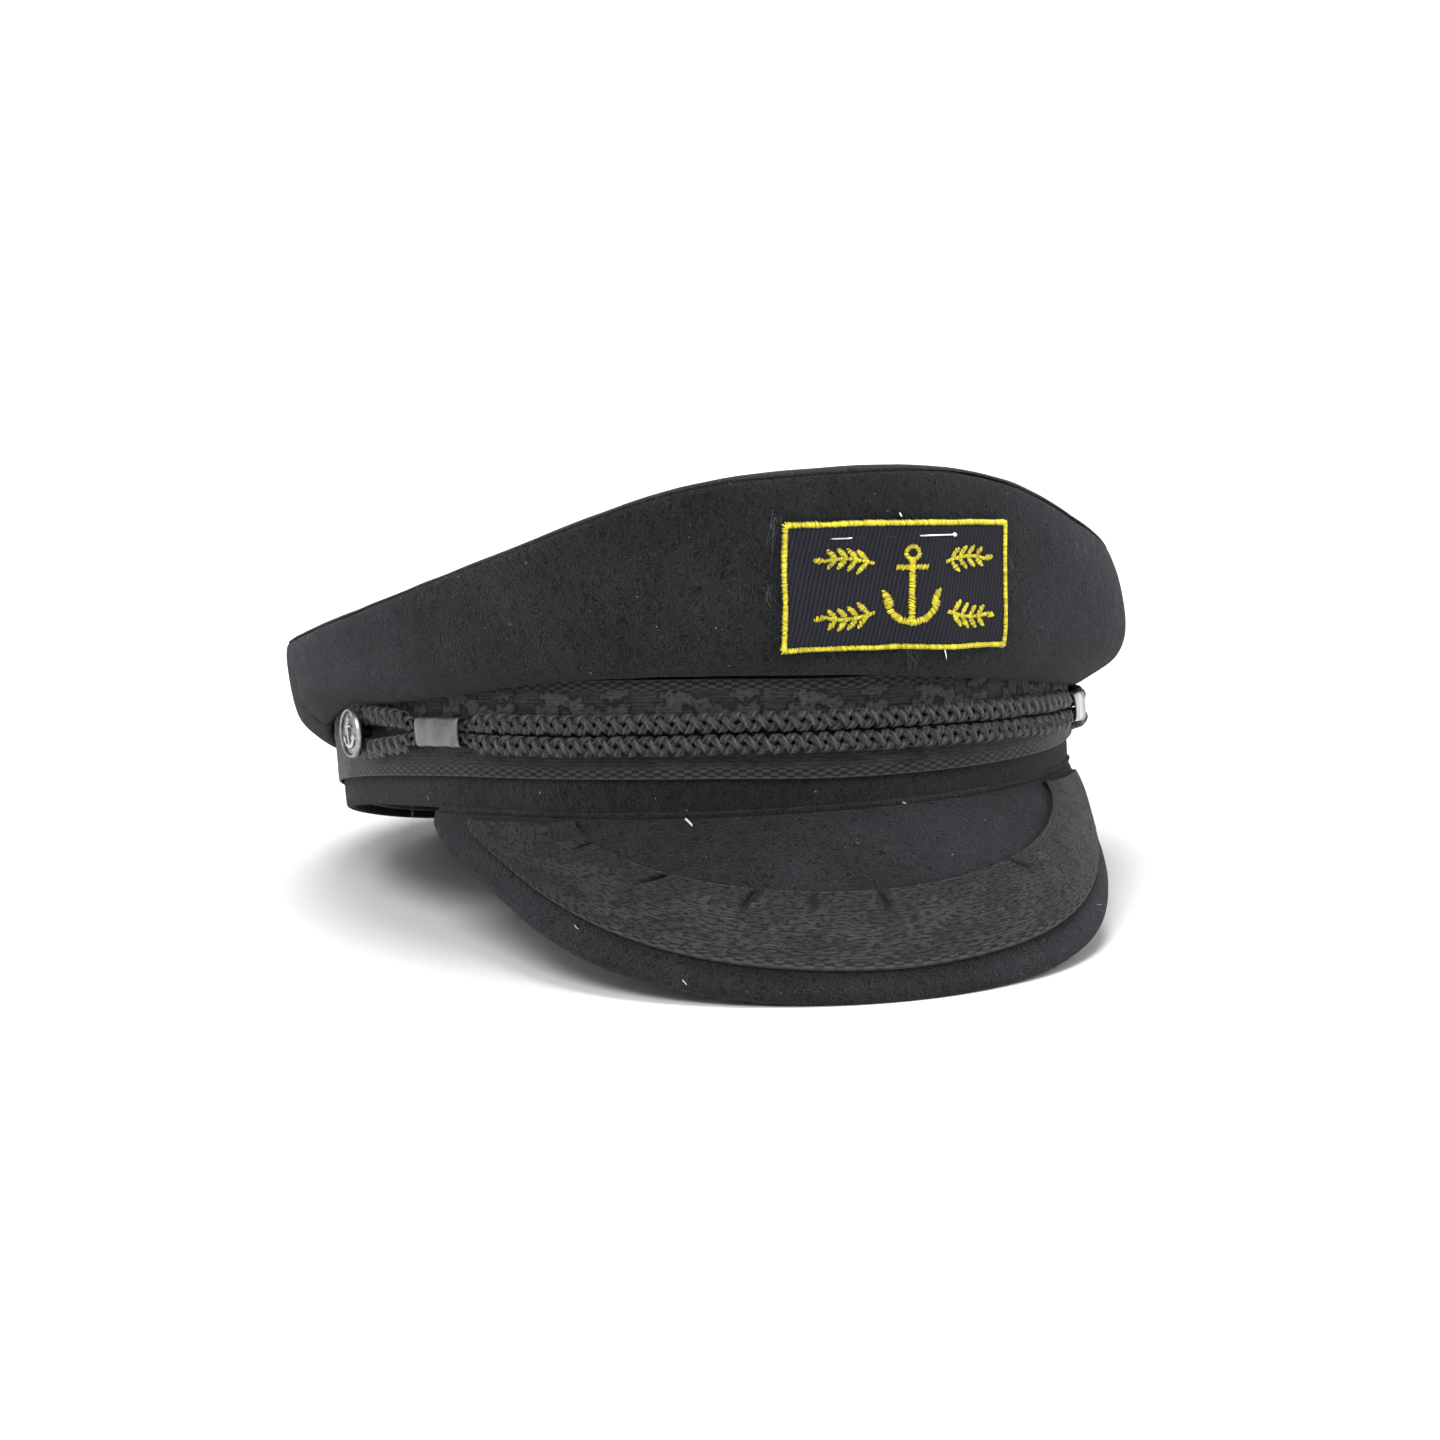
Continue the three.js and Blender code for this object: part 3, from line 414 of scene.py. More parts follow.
def softened(
        node: bpy.types.Object, name: str, levels: int, wobble: float, swell: float,
        crease: float) -> bpy.types.Object:
    """Makes a soft felt piece from a solid.

    Args:
        node: The solid it stands for.
        name: The piece's name.
        levels: Rounds of smooth subdivision.
        wobble: Height of the felt's slow unevenness, in metres.
        swell: How far the felt's skin stands out of the solid, in metres.
        crease: How sharp its corners stay, from 0 to 1.

    Returns:
        The object.
    """
    body = bmesh.new()
    body.from_mesh(node.data)
    bmesh.ops.remove_doubles(body, verts=body.verts, dist=1e-6)
    bmesh.ops.join_triangles(
        body, faces=body.faces, angle_face_threshold=math.radians(40), angle_shape_threshold=math.radians(60))
    layer = body.edges.layers.float.new("crease_edge")
    for edge in body.edges:
        if len(edge.link_faces) == 2 and edge.calc_face_angle() > math.radians(50):
            edge[layer] = crease
    mesh = bpy.data.meshes.new(name)
    body.to_mesh(mesh)
    body.free()
    mesh.materials.clear()
    piece = new_object(name, mesh)
    rounds = piece.modifiers.new("smooth", "SUBSURF")
    rounds.levels = rounds.render_levels = levels
    bpy.context.view_layer.update()
    shaped = bpy.data.meshes.new_from_object(piece.evaluated_get(bpy.context.evaluated_depsgraph_get()))
    piece.modifiers.clear()
    piece.data = shaped
    bpy.data.meshes.remove(mesh)
    shaped.name = name
    places = read_points(shaped, "vertices", "co")
    normals = read_points(shaped, "vertex_normals", "vector")
    rise = np.array([
        noise.noise(Vector(place) * 28) + 0.3 * noise.noise(Vector(place) * 110 + Vector((7, 3, 5)))
        for place in places])
    places += normals * (rise[:, None] * wobble + swell)
    places[:, 2] = np.maximum(places[:, 2], 0)
    shaped.vertices.foreach_set("co", places.astype(np.float32).ravel())
    shaped.update()
    shaped.shade_smooth()
    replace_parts(piece, node.name)
    return piece


def skin_tree(pieces: list[bpy.types.Object]) -> BVHTree:
    """Returns a search tree over the pieces' skins."""
    points: list[Vector] = []
    faces: list[list[int]] = []
    for piece in pieces:
        start = len(points)
        points += [vertex.co for vertex in piece.data.vertices]
        faces += [[start + i for i in polygon.vertices] for polygon in piece.data.polygons]
    return BVHTree.FromPolygons(points, faces)


# Shader effects


class Shader:
    """A node tree with short calls for adding and joining nodes."""

    def __init__(self, tree: bpy.types.NodeTree) -> None:
        """Keeps the tree."""
        self.tree = tree

    def feed(self, socket: bpy.types.NodeSocket, value: object) -> None:
        """Links a socket to another one, or gives it a constant."""
        if isinstance(value, bpy.types.NodeSocket):
            self.tree.links.new(value, socket)
        else:
            socket.default_value = value

    def add(self, kind: str, inputs: dict[str | int, object] | None = None, **settings: object) -> bpy.types.Node:
        """Adds a node.

        Args:
            kind: Blender's name of the node.
            inputs: A value or a socket for each input.
            settings: The node's own properties.

        Returns:
            The node.
        """
        node = self.tree.nodes.new(kind)
        for key, value in settings.items():
            setattr(node, key, value)
        for key, value in (inputs or {}).items():
            self.feed(node.inputs[key], value)
        return node

    def math(self, operation: str, a: object, b: object = 0.0) -> bpy.types.NodeSocket:
        """Returns the result of one sum on two values or sockets."""
        return self.add("ShaderNodeMath", {0: a, 1: b}, operation=operation).outputs[0]

    def span(self, value: object, low: float, high: float, to_low: float, to_high: float) -> bpy.types.NodeSocket:
        """Returns a value carried from one span to another, held at its ends."""
        inputs = {"Value": value, "From Min": low, "From Max": high, "To Min": to_low, "To Max": to_high}
        return self.add("ShaderNodeMapRange", inputs).outputs[0]

    def blend(self, factor: object, a: object, b: object) -> bpy.types.NodeSocket:
        """Returns a colour between two colours."""
        return self.add("ShaderNodeMix", {0: factor, 6: a, 7: b}, data_type="RGBA").outputs[2]

    def stored(self, name: str) -> bpy.types.NodeSocket:
        """Returns a number stored on the mesh's points."""
        return self.add("ShaderNodeAttribute", attribute_name=name).outputs["Fac"]

    def place(self) -> bpy.types.NodeSocket:
        """Returns the place on the object, in metres."""
        return self.add("ShaderNodeTexCoord").outputs["Object"]

    def noise(self, scale: object, detail: float, rough: float, at: object = None) -> bpy.types.NodeSocket:
        """Returns noise over the surface."""
        inputs = {"Vector": at or self.place(), "Scale": scale, "Detail": detail, "Roughness": rough}
        return self.add("ShaderNodeTexNoise", inputs).outputs["Fac"]

    def warped(self, scale: float, detail: float, reach: float) -> bpy.types.NodeSocket:
        """Returns the place on the object, shifted by noise over at most a reach in metres."""
        cloud = self.add("ShaderNodeTexNoise", {"Vector": self.place(), "Scale": scale, "Detail": detail})
        shift = self.add("ShaderNodeVectorMath", {0: cloud.outputs["Color"], "Scale": reach}, operation="SCALE")
        return self.add("ShaderNodeVectorMath", {0: self.place(), 1: shift.outputs[0]}, operation="ADD").outputs[0]

    def wave(self, distance: object, length: object, turn: float) -> bpy.types.NodeSocket:
        """Returns a sine wave over a distance, turning by an angle in radians for each length."""
        return self.math("SINE", self.math("MULTIPLY", self.math("DIVIDE", distance, length), turn))

    def effect(self, group: bpy.types.NodeTree, inputs: dict[str, object]) -> bpy.types.Node:
        """Returns a placed shader effect."""
        return self.add("ShaderNodeGroup", inputs, node_tree=group)


def new_effect(
        name: str, inputs: dict[str, float],
        outputs: tuple[str, ...]) -> tuple[Shader, bpy.types.Node, bpy.types.Node]:
    """Makes an empty shader effect.

    Args:
        name: The group's name.
        inputs: Each input's name and usual value.
        outputs: The outputs' names.

    Returns:
        The group's shader, its input node and its output node.
    """
    tree = bpy.data.node_groups.new(name, "ShaderNodeTree")
    for key, value in inputs.items():
        tree.interface.new_socket(key, in_out="INPUT", socket_type="NodeSocketFloat").default_value = value
    for key in outputs:
        tree.interface.new_socket(key, in_out="OUTPUT", socket_type="NodeSocketFloat")
    shader = Shader(tree)
    return shader, shader.add("NodeGroupInput"), shader.add("NodeGroupOutput")


class Effects:
    """Shader effects that several finishes share."""

    def __init__(self) -> None:
        """Builds each effect once."""
        self.fibres = self.build_fibres()
        self.specks = self.build_specks()
        self.threads = self.build_threads()
        self.dashes = self.build_dashes()
        self.slits = self.build_slits()

    def build_fibres(self) -> bpy.types.NodeTree:
        """Returns matted fibres with slow mottling."""
        shader, given, result = new_effect("fibres", {"Fineness": 900, "Mottle": 45}, ("Height", "Mottle"))
        at = shader.warped(260.0, 1.0, 0.006)
        fine = shader.noise(given.outputs["Fineness"], 3, 0.7, at)
        strand = shader.add("ShaderNodeTexWave", {
            "Vector": at, "Scale": 520.0, "Distortion": 14.0, "Detail": 3.0, "Detail Scale": 1.3})
        strands = shader.math("MULTIPLY", strand.outputs["Fac"], 0.35)
        shader.feed(result.inputs["Height"], shader.math("ADD", fine, strands))
        shader.feed(result.inputs["Mottle"], shader.noise(given.outputs["Mottle"], 3, 0.6))
        return shader.tree

    def build_specks(self) -> bpy.types.NodeTree:
        """Returns sparse pale specks of lint."""
        shader, given, result = new_effect("lint specks", {"Closeness": 160, "Size": 0.1, "Share": 0.2}, ("Mask",))
        at = shader.warped(900.0, 2.0, 0.0016)
        cells = shader.add("ShaderNodeTexVoronoi", {"Vector": at, "Scale": given.outputs["Closeness"]})
        near = shader.math("LESS_THAN", cells.outputs["Distance"], given.outputs["Size"])
        tone = shader.add("ShaderNodeSeparateColor", {"Color": cells.outputs["Color"]})
        chosen = shader.math("LESS_THAN", tone.outputs[0], given.outputs["Share"])
        mask = shader.math("MULTIPLY", near, chosen)
        shader.feed(result.inputs["Mask"], shader.math("MULTIPLY", mask, tone.outputs[1]))
        return shader.tree

    def build_threads(self) -> bpy.types.NodeTree:
        """Returns crossing threads, from distances along and across a cloth in millimetres."""
        shader, given, result = new_effect(
            "threads", {"Along": 0, "Across": 0, "Pitch": 0.3, "Wander": 0.1}, ("Height",))
        wander = shader.math("MULTIPLY", shader.noise(240.0, 2, 0.5), given.outputs["Wander"])
        waves = [
            shader.wave(shader.math("ADD", given.outputs[side], wander), given.outputs["Pitch"], math.tau)
            for side in ("Along", "Across")]
        shader.feed(result.inputs["Height"], shader.span(shader.math("MULTIPLY", *waves), -1, 1, 0, 1))
        return shader.tree

    def build_dashes(self) -> bpy.types.NodeTree:
        """Returns staggered rows of short dashes, from distances along and across a cloth in millimetres."""
        shader, given, result = new_effect(
            "dashes", {"Along": 0, "Across": 0, "Length": 2.0, "Row": 0.8}, ("Height",))
        waves = [
            shader.wave(given.outputs[side], given.outputs[size], math.pi)
            for side, size in (("Along", "Length"), ("Across", "Row"))]
        shader.feed(result.inputs["Height"], shader.span(shader.math("MULTIPLY", *waves), -0.25, 0.25, 0, 1))
        return shader.tree

    def build_slits(self) -> bpy.types.NodeTree:
        """Returns short dark slits along a cloth, from distances along and across it in millimetres."""
        shader, given, result = new_effect(
            "slits", {"Along": 0, "Across": 0, "Length": 2.4, "Height": 0.5}, ("Mask",))
        at = shader.add("ShaderNodeCombineXYZ", {
            "X": shader.math("DIVIDE", given.outputs["Along"], given.outputs["Length"]),
            "Y": shader.math("DIVIDE", given.outputs["Across"], given.outputs["Height"])})
        wavy = shader.noise(1.0, 2, 0.55, at.outputs[0])
        shader.feed(result.inputs["Mask"], shader.span(wavy, 0.51, 0.58, 0, 1))
        return shader.tree


class Finish:
    """A finish that paints one material."""

    name = "finish"
    slot = "slot"

    def __init__(self, effects: Effects) -> None:
        """Builds the material.

        Args:
            effects: The shader effects to use.
        """
        self.material = bpy.data.materials.new(self.name)
        self.material.use_nodes = True
        self.shader = Shader(self.material.node_tree)
        self.surface = self.material.node_tree.nodes["Principled BSDF"]
        self.effects = effects
        self.paint()

    def paint(self) -> None:
        """Builds the nodes; each finish has its own."""

    def set(self, **values: object) -> None:
        """Sets or links the shader's sockets, given by name with _ for a space."""
        for key, value in values.items():
            self.shader.feed(self.surface.inputs[key.replace("_", " ")], value)

    def bump(self, height: bpy.types.NodeSocket, depth: float, strength: float = 1.0) -> None:
        """Raises the surface by a height from 0 to 1 times a depth in metres."""
        inputs = {"Height": height, "Distance": depth, "Strength": strength}
        self.set(Normal=self.shader.add("ShaderNodeBump", inputs).outputs[0])

    def dress(self, *pieces: bpy.types.Object) -> None:
        """Gives pieces this finish."""
        for piece in pieces:
            piece.data.materials.clear()
            piece.data.materials.append(self.material)


class Felt(Finish):
    """Dense dark navy felt with a short nap and some lint."""

    name = "dark navy felt"
    slot = "navy_felt"
    deep = (0.0026, 0.0028, 0.0031, 1)
    pale = (0.021, 0.022, 0.0238, 1)
    lint = (0.26, 0.26, 0.275, 1)

    def paint(self) -> None:
        """Mottles the colour, scatters specks and raises the fibres."""
        fibres = self.shader.effect(self.effects.fibres, {"Fineness": 1500.0, "Mottle": 38.0})
        specks = self.shader.effect(self.effects.specks, {"Closeness": 340.0, "Size": 0.085, "Share": 0.14})
        fine = self.shader.math("MULTIPLY", fibres.outputs["Height"], 1.3)
        tone = self.shader.math("ADD", fibres.outputs["Mottle"], fine)
        cloth = self.shader.blend(self.shader.span(tone, 1.2, 1.75, 0, 1), self.deep, self.pale)
        colour = self.shader.blend(self.shader.math("MULTIPLY", specks.outputs["Mask"], 0.8), cloth, self.lint)
        self.set(Base_Color=colour, Roughness=self.shader.span(fibres.outputs["Mottle"], 0.3, 0.7, 0.86, 0.96))
        self.set(Sheen_Weight=0.085, Sheen_Roughness=0.6, Sheen_Tint=(0.86, 0.88, 0.97, 1))
        self.set(Specular_IOR_Level=0.12)
        self.bump(fibres.outputs["Height"], 0.0004)


class ShadedBandFelt(Felt):
    """The same felt, painted darker as painted shade under the crown's overhang."""

    name = "dark navy felt of the band with painted shade"
    # Darker colours than the felt's: a painted shade.
    deep = (0.002, 0.0022, 0.0024, 1)
    pale = (0.0145, 0.0155, 0.0165, 1)


class Lining(Finish):
    """Dull brown woven sweatband."""

    name = "brown sweatband"
    slot = "brown_lining"
    deep = (0.022, 0.015, 0.011, 1)
    pale = (0.055, 0.04, 0.031, 1)

    def paint(self) -> None:
        """Weaves and mottles the colour."""
        fibres = self.shader.effect(self.effects.fibres, {"Fineness": 1100.0, "Mottle": 60.0})
        colour = self.shader.blend(fibres.outputs["Mottle"], self.deep, self.pale)
        self.set(Base_Color=colour, Roughness=0.7, Sheen_Weight=0.2)
        self.bump(fibres.outputs["Height"], 0.0002, 0.7)


class RibbonCloth(Finish):
    """Black jacquard ribbon with a soft sheen."""

    name = "black jacquard ribbon"
    slot = "oak_leaf_ribbon"
    deep = (0.002, 0.002, 0.0019, 1)
    pale = (0.048, 0.0485, 0.047, 1)
    selvedge = 2.4
    slit_depth = 0.25
    line_pitch = 0.8

    def paint(self) -> None:
        """Weaves dashes along the edges, lines and slits between them, threads all over, and a painted edge
        highlight.
        """
        shader = self.shader
        place = {"Along": shader.stored("along"), "Across": shader.stored("across")}
        threads = shader.effect(self.effects.threads, {**place, "Pitch": 0.5}).outputs["Height"]
        dashes = shader.effect(self.effects.dashes, {**place, "Length": 1.7, "Row": 0.7}).outputs["Height"]
        slits = shader.effect(self.effects.slits, {**place, "Length": 1.9, "Height": 0.55}).outputs["Mask"]
        fibres = shader.effect(self.effects.fibres, {"Fineness": 1800.0, "Mottle": 70.0})
        lines = shader.math("SINE", shader.math("MULTIPLY", place["Across"], math.tau / self.line_pitch))
        ground = shader.math("ADD", shader.stored("relief"), shader.math("MULTIPLY", lines, 0.1))
        ground = shader.math("SUBTRACT", ground, shader.math("MULTIPLY", slits, self.slit_depth))
        edge = shader.math("LESS_THAN", shader.stored("edge"), self.selvedge)
        # A thin painted highlight along the ribbon's edge.
        rim = shader.span(shader.stored("edge"), 0.25, 0.45, 0.75, 0)
        woven = shader.math("ADD", shader.span(dashes, 0, 1, 0.0, 0.7), rim)
        step = shader.math("MULTIPLY", edge, shader.math("SUBTRACT", woven, ground))
        pattern = shader.math("ADD", ground, step)
        loose = shader.math("MULTIPLY", fibres.outputs["Height"], 0.4)
        grain = shader.math("ADD", shader.math("MULTIPLY", threads, 0.3), loose)
        tone = shader.math("ADD", pattern, grain)
        # The stored relief holds painted light and shade as well as the woven pattern.
        colour = shader.blend(shader.span(tone, 0.5, 1.5, 0, 1), self.deep, self.pale)
        self.set(Base_Color=colour, Roughness=shader.span(fibres.outputs["Mottle"], 0.3, 0.7, 0.5, 0.66))
        self.set(Sheen_Weight=0.05, Sheen_Roughness=0.45, Sheen_Tint=(0.95, 0.95, 0.92, 1))
        self.set(Specular_IOR_Level=0.22)
        self.bump(tone, 0.00022)


class PuckeredRibbonCloth(RibbonCloth):
    """The same ribbon drawn round a curve, with its slits pulled open."""

    name = "black jacquard ribbon on the peak"
    selvedge = 1.5
    slit_depth = 0.75


class CordYarn(Finish):
    """Black braided yarn with soft highlights."""

    name = "black braided yarn"
    slot = "knitted_cord"
    deep = (0.0015, 0.0015, 0.0015, 1)
    pale = (0.075, 0.075, 0.072, 1)

    def paint(self) -> None:
        """Paints shade into the hollows between strands and raises the yarn's fibres."""
        relief = self.shader.stored("relief")
        twist = self.shader.math("MULTIPLY", self.shader.stored("twist"), math.tau)
        fibre = self.shader.span(self.shader.math("SINE", twist), -1, 1, 0, 1)
        fibres = self.shader.effect(self.effects.fibres, {"Fineness": 2200.0, "Mottle": 120.0})
        tone = self.shader.math("ADD", relief, self.shader.math("MULTIPLY", fibre, 0.25))
        # The stored relief is painted light and shade: lighter on the strands' outer faces, darker in hollows and
        # under-crossings.
        colour = self.shader.blend(self.shader.span(tone, 0.4, 1.2, 0, 1), self.deep, self.pale)
        self.set(Base_Color=colour, Roughness=0.27, Sheen_Weight=0.05, Sheen_Roughness=0.35)
        self.bump(self.shader.math("ADD", fibre, fibres.outputs["Height"]), 0.00014)


class Sleeve(Finish):
    """Cloudy clear plastic sleeve with fine scuffs."""

    name = "cloudy clear sleeve"
    slot = "clear_sleeve"
    deep = (0.05, 0.054, 0.057, 1)
    pale = (0.14, 0.15, 0.157, 1)

    def paint(self) -> None:
        """Clouds the plastic."""
        cloud = self.shader.noise(220.0, 4, 0.6)
        colour = self.shader.blend(self.shader.span(cloud, 0.35, 0.7, 0, 1), self.deep, self.pale)
        self.set(Base_Color=colour, Roughness=self.shader.span(cloud, 0.3, 0.7, 0.22, 0.38))
        self.set(Transmission_Weight=0.35, Coat_Weight=0.6, Coat_Roughness=0.12, IOR=1.48)
        self.bump(self.shader.noise(700.0, 3, 0.6), 0.00006, 0.5)


class AgedNickel(Finish):
    """Nickel with dark recesses."""

    name = "aged nickel"
    slot = "aged_nickel"
    deep = (0.03, 0.03, 0.029, 1)
    pale = (0.5, 0.49, 0.47, 1)

    def paint(self) -> None:
        """Tarnishes the recesses and scuffs the raised parts."""
        relief = self.shader.stored("relief")
        grime = self.shader.noise(420.0, 4, 0.65)
        worn = self.shader.math("ADD", relief, self.shader.span(grime, 0.3, 0.7, -0.18, 0.18))
        colour = self.shader.blend(self.shader.span(worn, 0.15, 0.75, 0, 1), self.deep, self.pale)
        self.set(Base_Color=colour, Metallic=1.0, Roughness=self.shader.span(worn, 0.1, 0.9, 0.55, 0.27))
        self.bump(self.shader.noise(1500.0, 3, 0.6), 0.00005, 0.5)


class TwillCloth(Finish):
    """Slate-navy twill with slanted ribs."""

    name = "slate navy twill"
    slot = "navy_twill"
    deep = (0.001, 0.001, 0.002, 1)
    pale = (0.0205, 0.0205, 0.031, 1)

    def paint(self) -> None:
        """Shades the ribs and raises their threads."""
        rib = self.shader.stored("relief")
        weave = {"Along": self.shader.stored("along"), "Across": self.shader.stored("across"), "Pitch": 0.42}
        threads = self.shader.effect(self.effects.threads, weave).outputs["Height"]
        tone = self.shader.math("ADD", rib, self.shader.math("MULTIPLY", threads, 0.35))
        colour = self.shader.blend(self.shader.span(tone, 0.1, 1.2, 0, 1), self.deep, self.pale)
        self.set(Base_Color=colour, Roughness=0.75, Sheen_Weight=0.03, Sheen_Roughness=0.4)
        self.set(Specular_IOR_Level=0.2)
        self.bump(threads, 0.0001, 0.8)


class SatinThread(Finish):
    """Lemon-yellow embroidery thread."""

    name = "lemon embroidery thread"
    slot = "yellow_thread"

    def paint(self) -> None:
        """Varies the colour from thread to thread."""
        shade = self.shader.stored("thread")
        colour = self.shader.blend(shade, (0.42, 0.34, 0.008, 1), (0.86, 0.76, 0.03, 1))
        self.set(Base_Color=colour, Roughness=0.42, Sheen_Weight=0.3, Sheen_Roughness=0.3)
        self.bump(self.shader.noise(2600.0, 3, 0.6), 0.00005, 0.6)


class PinSteel(Finish):
    """Bright pin steel."""

    name = "bright pin steel"
    slot = "pin_steel"

    def paint(self) -> None:
        """Scuffs the metal a little."""
        scuff = self.shader.noise(600.0, 3, 0.6)
        colour = self.shader.blend(scuff, (0.72, 0.72, 0.71, 1), (0.9, 0.9, 0.9, 1))
        self.set(Base_Color=colour, Metallic=1.0, Roughness=self.shader.span(scuff, 0.3, 0.7, 0.14, 0.26))


class Fluff(Finish):
    """Pale fibres, hairs and lint that cling to the felt."""

    name = "clinging lint"
    slot = "navy_felt"

    def paint(self) -> None:
        """Varies the fibres from grey to nearly white."""
        shade = self.shader.math("POWER", self.shader.stored("thread"), 1.6)
        dust = self.shader.span(self.shader.noise(900.0, 2, 0.5), 0.3, 0.7, 0.8, 1.1)
        shade = self.shader.math("MULTIPLY", shade, dust)
        colour = self.shader.blend(shade, (0.022, 0.022, 0.025, 1), (0.75, 0.75, 0.74, 1))
        self.set(Base_Color=colour, Roughness=0.7)


# Sub-assemblies


class Side(Enum):
    """The wearer's right and left."""

    RIGHT = -1
    LEFT = 1


@dataclass
class Crown:
    """The soft crown: front panel, rear panel and oval tip."""

    finish: Felt
    rounds: int = 2
    unevenness: float = 0.0005
    swell: float = 0.00018
    crease: float = 0.3
    tape_stations: int = 180
    tape_sides: int = 10
    tape_window: float = 0.06
    tape_radius: float = 0.001
    tape_inset: float = 0.0012
    tape_drop: float = 0.0002
    seam_width: float = 0.0012
    smoothing_rounds: int = 3

    def build(self, nodes: dict[str, bpy.types.Object]) -> list[bpy.types.Object]:
        """Builds the three felt panels and the tape in their upper seam.

        Args:
            nodes: The solids by name.

        Returns:
            The panels and the tape.
        """
        self.front = self.panel(nodes["crown_front_panel"], "crown_front_felt")
        self.rear = self.panel(nodes["crown_rear_panel"], "crown_rear_felt")
        self.tip = self.panel(nodes["crown_tip"], "crown_tip_felt")
        self.seam_tape = self.tape(self.tip)
        return [self.front, self.rear, self.tip, self.seam_tape]

    def tape(self, tip: bpy.types.Object) -> bpy.types.Object:
        """Returns the tape sewn inside the seam round the tip.

        Args:
            tip: The softened tip.

        Returns:
            The tape, a closed loop under the tip's edge.
        """
        points = read_points(tip.data, "vertices", "co")
        matrix = np.array(tip.matrix_world)
        points = points @ matrix[:3, :3].T + matrix[:3, 3]
        middle = points[:, :2].mean(0)
        turn = circle(self.tape_stations)
        towards = np.stack([np.cos(turn), np.sin(turn)], -1)
        bearing = np.arctan2(points[:, 1] - middle[1], points[:, 0] - middle[0])
        reach = np.linalg.norm(points[:, :2] - middle, axis=1)
        path = []
        for angle, way in zip(turn, towards):
            near = np.abs((bearing - angle + math.pi) % math.tau - math.pi) < self.tape_window
            outer = near & (reach > reach[near].max() - self.seam_width)
            spot = middle + way * (reach[outer].max() - self.tape_inset)
            path.append([*spot, points[outer, 2].min() - self.tape_drop])
        path = np.array(path)
        for _ in range(self.smoothing_rounds):
            path = (np.roll(path, 1, 0) + 2 * path + np.roll(path, -1, 0)) / 4
        ring = circle(self.tape_sides)
        out = unit(np.column_stack([path[:, :2] - middle, np.zeros(len(path))]))
        round_out = out[:, None] * np.cos(ring)[None, :, None]
        round_up = np.array([0, 0, 1.0]) * np.sin(ring)[None, :, None]
        return loft("crown_seam_tape", path[:, None] + self.tape_radius * (round_out + round_up), True, {})

    def panel(self, node: bpy.types.Object, name: str) -> bpy.types.Object:
        """Returns one panel, swollen to close its seams."""
        return softened(node, name, self.rounds, self.unevenness, self.swell, self.crease)

    def dress(self) -> None:
        """Gives the panels and the tape their felt."""
        self.finish.dress(self.front, self.rear, self.tip, self.seam_tape)


